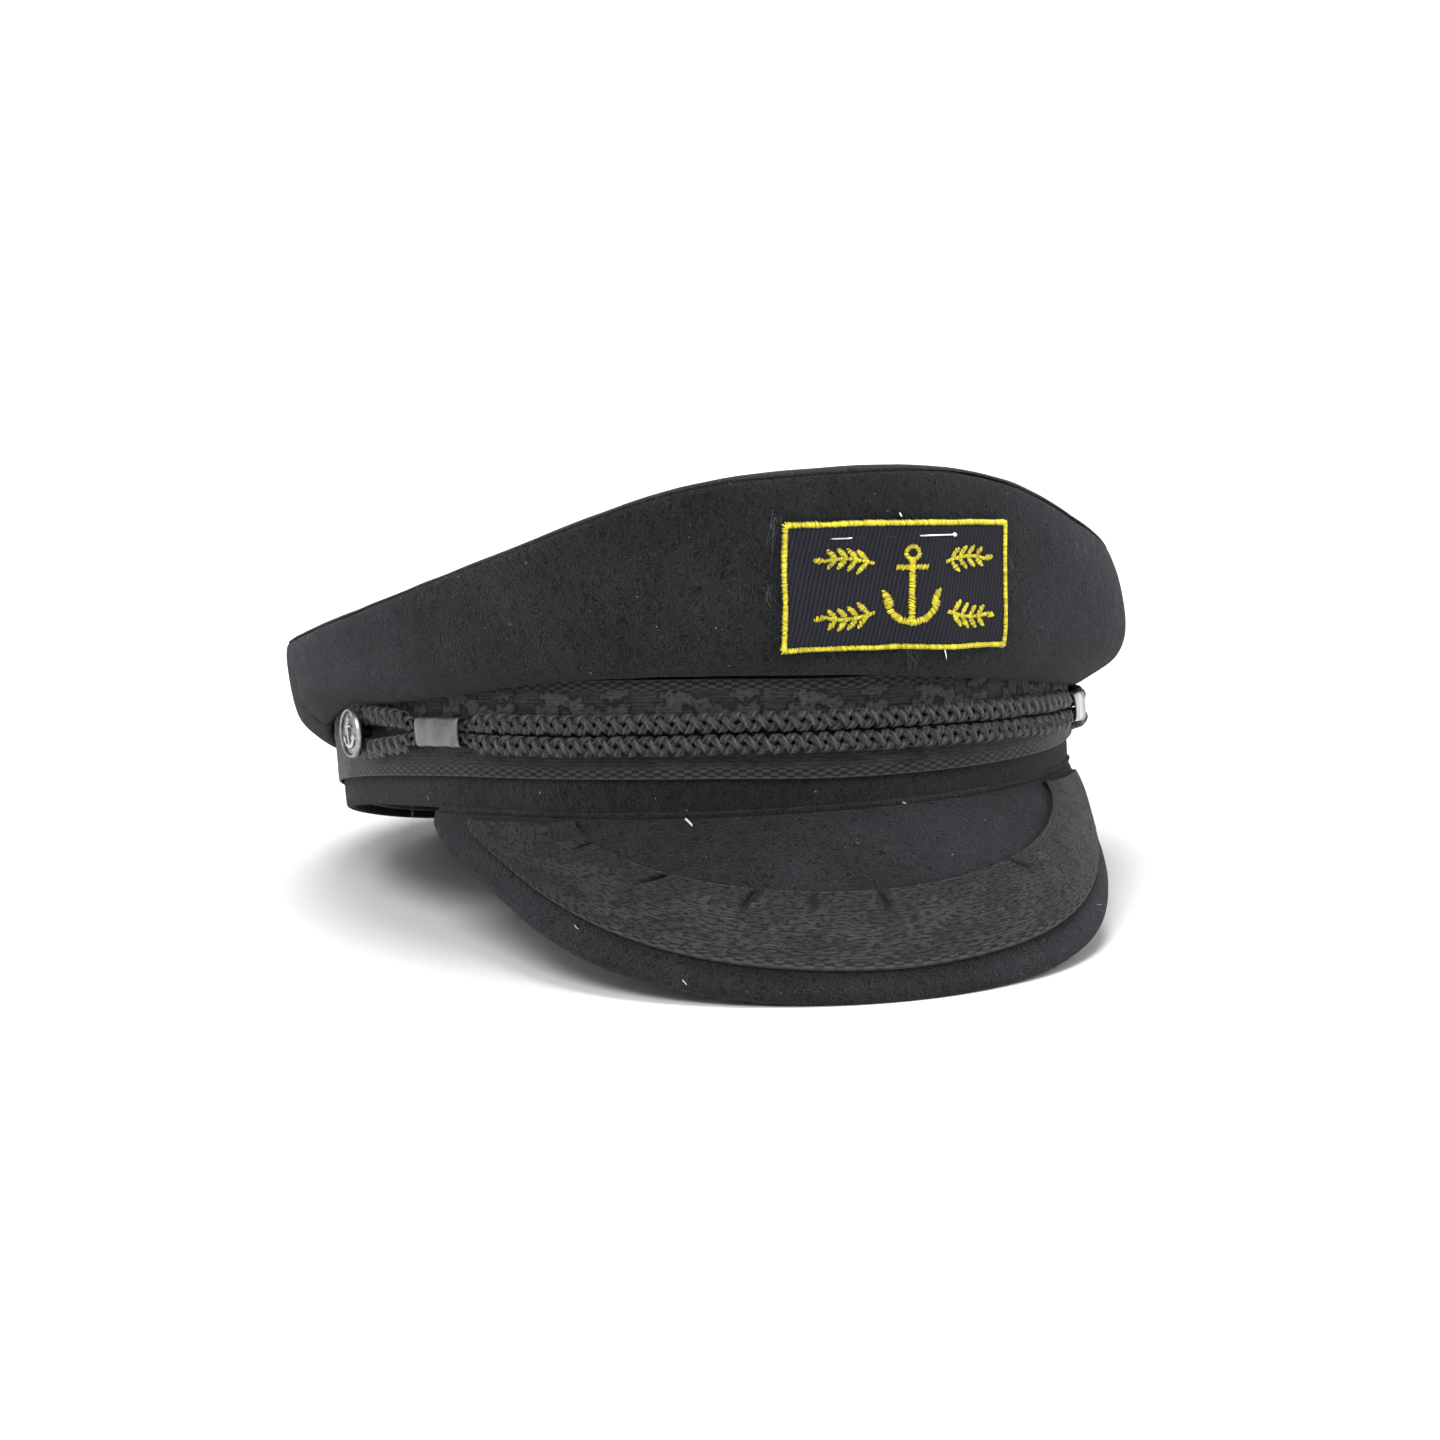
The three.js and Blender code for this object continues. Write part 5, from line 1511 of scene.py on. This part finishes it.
@dataclass
class PatchSet:
    """The twill patch, its border, its embroidered motif and its two pins."""

    twill: TwillCloth
    thread: SatinThread
    steel: PinSteel
    width: float = 53.4
    height: float = 27.4
    thickness: float = 1.0
    columns: int = 176
    rows: int = 88
    rib: float = 0.96
    rib_lean: float = 12
    gap: float = 0.4
    ridge: float = 1.35
    ridge_width: float = 7
    ridge_top: float = 2.5
    ridge_foot: float = 9.5
    border_width: float = 1.5
    border_stitches: int = 450
    stitch_pitch: float = 0.3

    def build(self, front: bpy.types.Object) -> list[bpy.types.Object]:
        """Builds the patch and what holds it.

        Args:
            front: The softened front panel.

        Returns:
            The pieces.
        """
        self.lie = Lie(skin_tree([front]))
        self.measure()
        self.cloth = self.weave()
        self.border = self.stitch_border()
        self.motif = self.embroider()
        self.pins = [self.top_pin(), self.slanted_pin()]
        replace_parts(self.pins[0], "pin_top")
        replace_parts(self.pins[1], "pin_slanted")
        return [self.cloth, self.border, self.motif, *self.pins]

    def lift(self, across: np.ndarray, up: np.ndarray) -> np.ndarray:
        """Returns the height of the patch's back over the panel."""
        crest = mix(self.ridge_top, self.ridge_foot, 0.5 - up / self.height)
        return self.gap + self.ridge * np.exp(-((across - crest) / self.ridge_width) ** 2)

    def measure(self) -> None:
        """Finds the panel under a coarse grid, to be read between its points."""
        self.grid_x = np.linspace(-self.width / 2 - 4, self.width / 2 + 4, 64)
        self.grid_y = np.linspace(-self.height / 2 - 6, self.height / 2 + 6, 44)
        x, y = np.meshgrid(self.grid_x, self.grid_y, indexing="ij")
        self.panel = self.lie.point(x, y, 0)
        ahead = np.gradient(self.panel, axis=0)
        above = np.gradient(self.panel, axis=1)
        self.normals = unit(np.cross(ahead, above))

    def on_panel(self, across: np.ndarray, up: np.ndarray, lift: np.ndarray) -> np.ndarray:
        """Places points over the panel from the coarse grid.

        Args:
            across: Distances to the wearer's left of the patch's middle.
            up: Distances above the patch's middle.
            lift: Heights over the panel.

        Returns:
            Points where the cap rests, in metres.
        """
        across, up, lift = np.broadcast_arrays(across, up, lift)
        i = np.clip((across - self.grid_x[0]) / (self.grid_x[1] - self.grid_x[0]), 0, len(self.grid_x) - 1.001)
        j = np.clip((up - self.grid_y[0]) / (self.grid_y[1] - self.grid_y[0]), 0, len(self.grid_y) - 1.001)
        i0, j0 = i.astype(int), j.astype(int)
        u, v = (i - i0)[..., None], (j - j0)[..., None]

        def read(table: np.ndarray) -> np.ndarray:
            """Returns the table's value between its points."""
            low = mix(table[i0, j0], table[i0 + 1, j0], u)
            high = mix(table[i0, j0 + 1], table[i0 + 1, j0 + 1], u)
            return mix(low, high, v)

        return read(self.panel) + unit(read(self.normals)) * (lift * MM)[..., None]

    def weave(self) -> bpy.types.Object:
        """Returns the patch as a closed sheet with raised ribs."""
        x = np.linspace(-self.width / 2, self.width / 2, self.columns)
        y = np.linspace(-self.height / 2, self.height / 2, self.rows)
        gx, gy = np.meshgrid(x, y, indexing="ij")
        phase = (gx - gy * math.tan(math.radians(self.rib_lean))) * math.tau / self.rib
        rib = 0.5 + 0.5 * np.sin(phase)
        base = self.lift(gx, gy)
        top = self.on_panel(gx, gy, base + self.thickness - 0.16 + 0.13 * rib)
        under = self.on_panel(gx[:, ::-1], gy[:, ::-1], base[:, ::-1] + 0.05)
        rings = np.concatenate([top, under[:, ::6]], 1)
        gy_all = np.concatenate([gy, gy[:, ::-1][:, ::6]], 1)
        values = {
            "relief": np.concatenate([rib, 0 * under[:, ::6, 0] + 0.4], 1),
            "along": np.broadcast_to(x[:, None], gy_all.shape),
            "across": gy_all}
        piece = loft("patch_twill", rings, False, values)
        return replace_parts(piece, "patch")

    def outline(self, count: int, inset: float) -> tuple[np.ndarray, np.ndarray]:
        """Returns even points along the patch's edge, moved in by an inset."""
        w, h = self.width - 2 * inset, self.height - 2 * inset
        at = np.arange(count) / count * 2 * (w + h)
        sides = [at < w, at < w + h, at < 2 * w + h]
        x = np.select(sides, [at - w / 2, w / 2, w / 2 - (at - w - h)], -w / 2)
        y = np.select(sides, [-h / 2, at - w - h / 2, h / 2], h / 2 - (at - 2 * w - h))
        return x, y

    def stitch_border(self) -> bpy.types.Object:
        """Returns the satin-stitched border, whose threads wrap the patch's edge."""
        count = self.border_stitches
        x, y = self.outline(count, self.border_width / 2 - 0.2)
        ahead = unit(np.stack([np.roll(x, -1) - np.roll(x, 1), np.roll(y, -1) - np.roll(y, 1)], -1))
        outward = np.stack([ahead[:, 1], -ahead[:, 0]], -1)
        corner = np.hypot(self.width / 2 - np.abs(x), self.height / 2 - np.abs(y))
        rng = np.random.default_rng(31)
        across = np.linspace(-1, 1, 7)
        half = self.border_width / 2 - 0.24 + rng.normal(0, 0.05, count) + 0.3 * np.exp(-(corner / 1.1) ** 2)
        skew = rng.normal(0.1, 0.06, count)
        wander = 0.3 * (drift(np.arange(count) / 14, 0.5, 5) - 0.5)
        shift = across[None, :] * half[:, None] + wander[:, None]
        px = x[:, None] + outward[:, None, 0] * shift + ahead[:, None, 0] * across * skew[:, None]
        py = y[:, None] + outward[:, None, 1] * shift + ahead[:, None, 1] * across * skew[:, None]
        rise = self.lift(px, py) + np.array([0.98, 1.2, 1.3, 1.32, 1.24, 1.0, 0.45])
        paths = self.on_panel(px, py, rise)
        radii = np.broadcast_to(np.array([0.13, 0.18, 0.2, 0.2, 0.2, 0.18, 0.12]) * MM, (count, 7))
        piece = tubes("patch_border_stitches", paths, radii, 6, rng.random(count))
        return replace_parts(piece, "patch_border")

    def embroider(self) -> bpy.types.Object:
        """Returns the motif, an anchor between leafy sprigs, in satin stitch."""
        rng = np.random.default_rng(77)
        paths, radii = [], []
        for line, wide, tapered in anchor_lines() + sprig_lines():
            length = distances(line)
            count = max(3, int(length[-1] / self.stitch_pitch))
            at = np.linspace(0, length[-1], count)
            middle = np.stack([np.interp(at, length, line[:, i]) for i in range(2)], -1)
            ahead = unit(np.gradient(middle, axis=0))
            square = np.stack([-ahead[:, 1], ahead[:, 0]], -1)
            taper = np.sin(math.pi * np.linspace(0.04, 0.93, count)) ** 0.55 if tapered else 1.0
            half = wide / 2 * taper * (1 + rng.normal(0, 0.09, count))
            middle = middle + rng.normal(0, 0.05, (count, 2))
            slant = rng.normal(0.25, 0.12, count)
            across = np.linspace(-1, 1, 5)
            lean = square + slant[:, None] * ahead
            x, y = (middle[:, None, i] + lean[:, None, i] * across * half[:, None] for i in range(2))
            rise = self.lift(x, y) + self.thickness - 0.08 + 0.3 * np.sqrt(1 - 0.9 * across ** 2)
            paths.append(self.on_panel(x, y, rise))
            radii.append(np.broadcast_to(np.array([0.11, 0.16, 0.17, 0.16, 0.11]) * MM, (count, 5)))
        joined = np.concatenate(paths)
        return tubes("patch_anchor_motif", joined, np.concatenate(radii), 5, rng.random(len(joined)))

    def top_pin(self) -> bpy.types.Object:
        """Returns the long pin, whose middle passes through the twill."""
        x = np.concatenate([np.linspace(-16.7, 11.2, 60), [11.25, 11.3, 11.9, 12.2]])
        up = 10.5 + 0.012 * (x - 14)
        under = smooth(-12.8, -11.8, x) * (1 - smooth(2.5, 3.5, x))
        rise = self.lift(x, up) + self.thickness + 0.16 - 0.55 * under
        paths = self.on_panel(x, up, rise)[None]
        radii = np.concatenate([[0.05, 0.14], np.full(58, 0.24), [0.26, 0.55, 0.6, 0.3]])
        return tubes("pin_top_steel", paths, radii[None] * MM, 10, np.array([0.5]))

    def slanted_pin(self) -> bpy.types.Object:
        """Returns the pin under the patch, with its head and its point showing."""
        t = np.concatenate([np.linspace(0, 0.955, 50), [0.957, 0.96, 0.985, 1.0]])
        x = mix(11.8, -1.1, t)
        up = mix(-16.6, 15.2, t)
        rise = 0.36 + 0.15 * t ** 4
        paths = self.on_panel(x, up, rise)[None]
        radii = np.concatenate([[0.05, 0.14], np.full(48, 0.2), [0.2, 0.32, 0.33, 0.16]])
        return tubes("pin_slanted_steel", paths, radii[None] * MM, 10, np.array([0.5]))

    def dress(self) -> None:
        """Gives each part its finish."""
        self.twill.dress(self.cloth)
        self.thread.dress(self.border, self.motif)
        self.steel.dress(*self.pins)


def arc(x: float, y: float, radius: float, start: float, end: float) -> np.ndarray:
    """Returns points along part of a circle, between two angles in degrees."""
    turn = np.radians(np.linspace(start, end, 24))
    return np.stack([x + radius * np.cos(turn), y + radius * np.sin(turn)], -1)


Stroke = tuple[np.ndarray, float, bool]


def anchor_lines() -> list[Stroke]:
    """Returns the anchor's strokes: line and width in millimetres, and whether it tapers."""
    return [
        (np.array([(1.2, 5.4), (1.2, -8.0)]), 1.35, False),
        (np.array([(-2.2, 3.6), (4.6, 3.6)]), 1.1, False),
        (arc(1.2, 6.7, 1.4, -90, 270), 0.85, False),
        (arc(1.2, -2.2, 5.9, 196, 344), 1.35, False),
        (np.array([(-5.2, -1.4), (-3.2, -4.6)]), 1.5, True),
        (np.array([(7.6, -1.4), (5.6, -4.6)]), 1.5, True)]


def sprig_lines() -> list[Stroke]:
    """Returns the strokes of four leafy sprigs, two on each side of the anchor."""
    strokes: list[Stroke] = []
    for level, bend in ((4.6, 1.2), (-6.0, -1.2)):
        for root, way in ((-7.2, -1), (9.4, 1)):
            t = np.linspace(0, 1, 24)
            stem = np.stack([root + way * 10.6 * t, level + bend * np.sin(t * math.pi * 0.8)], -1)
            strokes.append((stem, 0.7, False))
            for number in range(4):
                x, y = stem[3 + 5 * number]
                size = 3.0 - 0.22 * number
                for side in (-1, 1):
                    tip = (x + way * size * 0.72, y + side * size * 0.82)
                    strokes.append((np.array([(x, y + side * 0.3), tip]), 1.15, True))
            end = stem[-1]
            strokes.append((np.array([end, (end[0] + way * 2.2, end[1] + 0.3 * bend)]), 1.3, True))
    return strokes


def scatter(
        pieces: list[bpy.types.Object], count: int,
        rng: np.random.Generator) -> tuple[np.ndarray, np.ndarray]:
    """Picks even random places on the pieces' skins.

    Args:
        pieces: Meshes of four-sided faces.
        count: How many places.
        rng: The source of chance.

    Returns:
        Places and the directions square to the skin there.
    """
    corners_of, normals = [], []
    for piece in pieces:
        points = read_points(piece.data, "vertices", "co")
        faces = [tuple(face.vertices)[:4] for face in piece.data.polygons if len(face.vertices) >= 4]
        corners_of.append(points[np.array(faces)])
        normals.append(np.array([tuple(face.normal) for face in piece.data.polygons if len(face.vertices) >= 4]))
    quads, square = np.concatenate(corners_of), np.concatenate(normals)
    area = np.linalg.norm(np.cross(quads[:, 2] - quads[:, 0], quads[:, 3] - quads[:, 1]), axis=1)
    chosen = rng.choice(len(quads), count, p=area / area.sum())
    u, v = rng.random((2, count, 1))
    q = quads[chosen]
    return mix(mix(q[:, 0], q[:, 1], u), mix(q[:, 3], q[:, 2], u), v), square[chosen]


@dataclass
class LooseFibres:
    """The felt's fuzz, lint, stray threads and hairs."""

    fluff: Fluff
    fuzz_count: int = 7000
    lint_count: int = 1500

    def build(
            self, crown: list[bpy.types.Object], lower: list[bpy.types.Object],
            patch: PatchSet) -> list[bpy.types.Object]:
        """Builds every loose fibre.

        Args:
            crown: The crown's felt pieces.
            lower: The band's and peak's felt pieces.
            patch: The patch, for the hairs about it.

        Returns:
            The pieces.
        """
        rng = np.random.default_rng(4)
        self.pieces = [
            self.curls("crown_fuzz", crown, self.fuzz_count, (0.45, 1.5), 0.019, (0.0, 0.4), 0.75, rng),
            # The band's and peak's fuzz is painted darker than the crown's: painted shade on the lower felt.
            self.curls("band_and_peak_fuzz", lower, self.fuzz_count, (0.35, 1.1), 0.019, (0.0, 0.26), 0.75, rng),
            self.curls("lint_threads", crown + lower, self.lint_count, (0.15, 0.8), 0.034, (0.2, 0.75), 0.1, rng),
            self.hairs(patch, rng),
            self.strays()]
        return self.pieces

    def curls(
            self, name: str, hosts: list[bpy.types.Object], count: int, length: Pair, radius: float,
            shade: Pair, upright: float, rng: np.random.Generator) -> bpy.types.Object:
        """Returns curled fibres rooted in the felt.

        Args:
            name: The piece's name.
            hosts: What they grow on.
            count: How many.
            length: Shortest and longest, in millimetres.
            radius: Their radius in millimetres.
            shade: Darkest and palest.
            upright: How far they stand up, from 0 to 1.
            rng: The source of chance.

        Returns:
            The object.
        """
        root, square = scatter(hosts, count, rng)
        loose = unit(rng.normal(size=(count, 3)))
        flat = unit(loose - np.sum(loose * square, -1, keepdims=True) * square)
        turned = np.cross(square, flat)
        size = rng.uniform(*length, count)[:, None] * MM
        stand = rng.uniform(0.1, 1, count)[:, None] * upright
        bend = rng.uniform(-0.9, 0.9, count)[:, None]
        paths = []
        for t in np.linspace(0, 1, 4):
            rise = stand * t * (1.25 - 0.5 * t)
            reach = flat * t * 0.8 + turned * bend * t * t * 0.7 + square * rise
            paths.append(root + size * reach + square * 5e-5)
        radii = np.array([1.0, 0.9, 0.7, 0.35]) * radius * MM
        path = np.stack(paths, 1)
        path[..., 2] = np.maximum(path[..., 2], 2e-5)
        return tubes(name, path, np.broadcast_to(radii, (count, 4)), 3, rng.uniform(*shade, count))

    def hairs(self, patch: PatchSet, rng: np.random.Generator) -> bpy.types.Object:
        """Returns the fine hairs beside and below the patch."""
        groups = (
            (-28.0, 15.0, -1.2, -8.0, 6), (-28.8, -3.0, -0.6, 7.0, 4), (2.0, -13.0, 2.2, -6.5, 9),
            (17.5, -13.8, 0.5, -1.6, 5), (29.0, 6.0, 0.4, -5.0, 4))
        t = np.linspace(0, 1, 10)
        paths, shades = [], []
        for x, up, dx, dy, count in groups:
            for _ in range(count):
                wave = rng.uniform(-0.7, 0.7, 3)
                px = x + rng.normal(0, 0.6) + dx * t * rng.uniform(0.4, 1.2) + wave[0] * np.sin(t * 5 + wave[1] * 3)
                py = up + rng.normal(0, 0.9) + dy * t * rng.uniform(0.4, 1.1) + wave[1] * np.sin(t * 4 + wave[2] * 3)
                px, py = np.clip(px, -30.5, 30.5), np.clip(py, -19.5, 19.5)
                rise = 0.25 + rng.uniform(0.1, 0.9) * np.sin(t * math.pi)
                paths.append(patch.on_panel(px, py, rise))
                shades.append(rng.uniform(0.2, 0.5))
        radii = np.broadcast_to(np.linspace(1, 0.5, 10) * 0.026 * MM, (len(paths), 10))
        return tubes("patch_hairs", np.array(paths), radii, 4, np.array(shades))

    def strays(self) -> bpy.types.Object:
        """Returns the white scraps of thread on the peak and the loose end under the band."""
        t = np.linspace(0, 1, 9)
        curl = np.sin(t * math.pi)
        paths, radii = [], []
        for angle, share, spread, rise, thick in (
                (-23.3, 0.05, 0.55, 0.05, 0.24), (8.6, 0.012, 0.25, 0.012, 0.13), (-35.6, 0.83, 0.35, 0.01, 0.07),
                (-22.5, 0.965, 0.2, 0.02, 0.1), (31.0, 0.9, 0.4, 0.02, 0.05)):
            a = angle + spread * (t * 2 - 1) + 0.2 * curl
            s = share + rise * (t - 0.5) + 0.01 * curl
            top = FORM.peak_point(a, s) + FORM.peak_square(a, s) * (0.35 + 0.3 * curl)[:, None]
            paths.append(FORM.rest(top))
            radii.append(thick * (1 - 0.5 * t ** 3))
        height = FORM.rim_height(np.array([-71.0])) + 0.3
        end = FORM.rest(FORM.oval(np.array([-71.0]), 4.7, height))[0]
        wave = np.stack([0.7 * np.sin(t * 7) * t, 0.5 * np.sin(t * 5 + 1) * t, -9.5 * t], -1) * MM
        paths.append(end + wave)
        radii.append(np.full(9, 0.035))
        shades = np.array([1, 0.9, 0.8, 0.9, 0.7, 0.45])
        return tubes("stray_threads", np.array(paths), np.array(radii) * MM, 6, shades)

    def dress(self) -> None:
        """Gives the fibres their finish."""
        self.fluff.dress(*self.pieces)


# Studio


@dataclass
class Studio:
    """The floor, the lights and the camera."""

    azimuth: float = 17.6
    elevation: float = 9.5
    roll: float = -1.5
    aim_side: float = 1.7
    aim_y: float = 9.8
    aim_z: float = 38
    distance: float = 1000
    lens: float = 104.5
    sensor: float = 36

    def build(self) -> None:
        """Builds the whole studio."""
        self.camera()
        self.floor()
        self.lights()
        bpy.context.scene.view_settings.view_transform = "Standard"

    def camera(self) -> None:
        """Places the camera."""
        a, e, r = (math.radians(v) for v in (self.azimuth, self.elevation, self.roll))
        back = Vector((-math.sin(a) * math.cos(e), -math.cos(a) * math.cos(e), math.sin(e)))
        level = Vector((math.cos(a), -math.sin(a), 0))
        above = level.cross(-back)
        right = level * math.cos(r) + above * math.sin(r)
        up = above * math.cos(r) - level * math.sin(r)
        target = Vector((0, self.aim_y, self.aim_z)) + level * self.aim_side
        spot = (target + back * self.distance) * MM
        data = bpy.data.cameras.new("camera")
        data.lens = self.lens
        data.sensor_width = self.sensor
        data.clip_start, data.clip_end = 0.05, 30
        camera = placed("camera", data)
        turned = Matrix((right, up, back)).transposed().to_4x4()
        camera.matrix_world = Matrix.Translation(spot) @ turned
        bpy.context.scene.camera = camera

    def floor(self) -> None:
        """Builds a pale floor that curves up to a wall all round."""
        radii = [0.0001, 0.5, 1.2, 2.2, 2.7, 2.95, 3.0]
        heights = [0, 0, 0, 0, 0.15, 0.6, 2.6]
        around = 96
        turn = circle(around)
        rings = np.array([
            np.stack([r * np.cos(turn), r * np.sin(turn), np.full(around, z)], -1)
            for r, z in zip(radii, heights)])
        mesh = bpy.data.meshes.new("studio_floor")
        inner, j = np.arange(len(radii) - 1)[:, None] * around, np.arange(around)[None, :]
        outer, nxt = inner + around, (j + 1) % around
        quads = np.stack(np.broadcast_arrays(inner + j, outer + j, outer + nxt, inner + nxt), -1)
        mesh.from_pydata(rings.reshape(-1, 3).tolist(), [], quads.reshape(-1, 4).tolist())
        mesh.shade_smooth()
        floor = placed("studio_floor", mesh)
        material = bpy.data.materials.new("pale studio floor")
        material.use_nodes = True
        shader = Shader(material.node_tree)
        surface = material.node_tree.nodes["Principled BSDF"]
        tone = shader.blend(shader.noise(3.0, 2, 0.5), (0.74, 0.74, 0.735, 1), (0.78, 0.78, 0.775, 1))
        shader.feed(surface.inputs["Base Color"], tone)
        shader.feed(surface.inputs["Roughness"], 0.85)
        mesh.materials.append(material)

    def lights(self) -> None:
        """Places the soft lights."""
        for name, spot, aim, size, power in (
                ("key", (-0.9, -1.3, 1.6), (0, 0, 0.05), 1.1, 36),
                ("fill", (1.6, -0.9, 1.0), (0, 0, 0.05), 1.4, 13),
                ("top", (0.1, 0.35, 1.9), (0, 0, 0.05), 1.3, 38),
                ("wall", (0, 1.2, 1.6), (0, 2.9, 0.5), 1.2, 30)):
            data = bpy.data.lights.new(name, "AREA")
            data.shape = "DISK"
            data.size = size
            data.energy = power
            light = placed(name, data)
            light.location = spot
            light.rotation_mode = "QUATERNION"
            light.rotation_quaternion = (Vector(aim) - Vector(spot)).to_track_quat("-Z", "Y")
        world = bpy.data.worlds.new("studio")
        world.use_nodes = True
        sky = world.node_tree.nodes["Background"]
        sky.inputs["Color"].default_value = (0.92, 0.94, 1.0, 1)
        sky.inputs["Strength"].default_value = 0.42
        bpy.context.scene.world = world


def report(name: str, pieces: list[bpy.types.Object]) -> None:
    """Logs each piece's size."""
    for piece in pieces:
        triangles = sum(len(face.vertices) - 2 for face in piece.data.polygons)
        log.info("%s: %s, %d triangles", name, piece.name, triangles)


def main() -> None:
    """Builds the cap and its studio in order."""
    logging.basicConfig(level=logging.INFO, format="%(message)s")
    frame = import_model()
    nodes = frame["nodes"]
    effects = Effects()
    felt, cloth = Felt(effects), RibbonCloth(effects)
    Studio().build()

    crown = Crown(felt)
    report("crown", crown.build(nodes))
    crown.dress()

    band = Band(ShadedBandFelt(effects), Lining(effects), cloth)
    report("band", band.build(nodes))
    band.dress()

    peak = Peak(felt, PuckeredRibbonCloth(effects))
    report("peak", peak.build(nodes))
    peak.dress()

    cord = CordSet(CordYarn(effects), Sleeve(effects), AgedNickel(effects))
    report("cord", cord.build())
    cord.dress()

    patch = PatchSet(TwillCloth(effects), SatinThread(effects), PinSteel(effects))
    report("patch", patch.build(crown.front))
    patch.dress()

    lint = LooseFibres(Fluff(effects))
    report("loose fibres", lint.build([crown.front, crown.rear, crown.tip], [band.headband, peak.shell], patch))
    lint.dress()


if __name__ == "__main__":
    main()
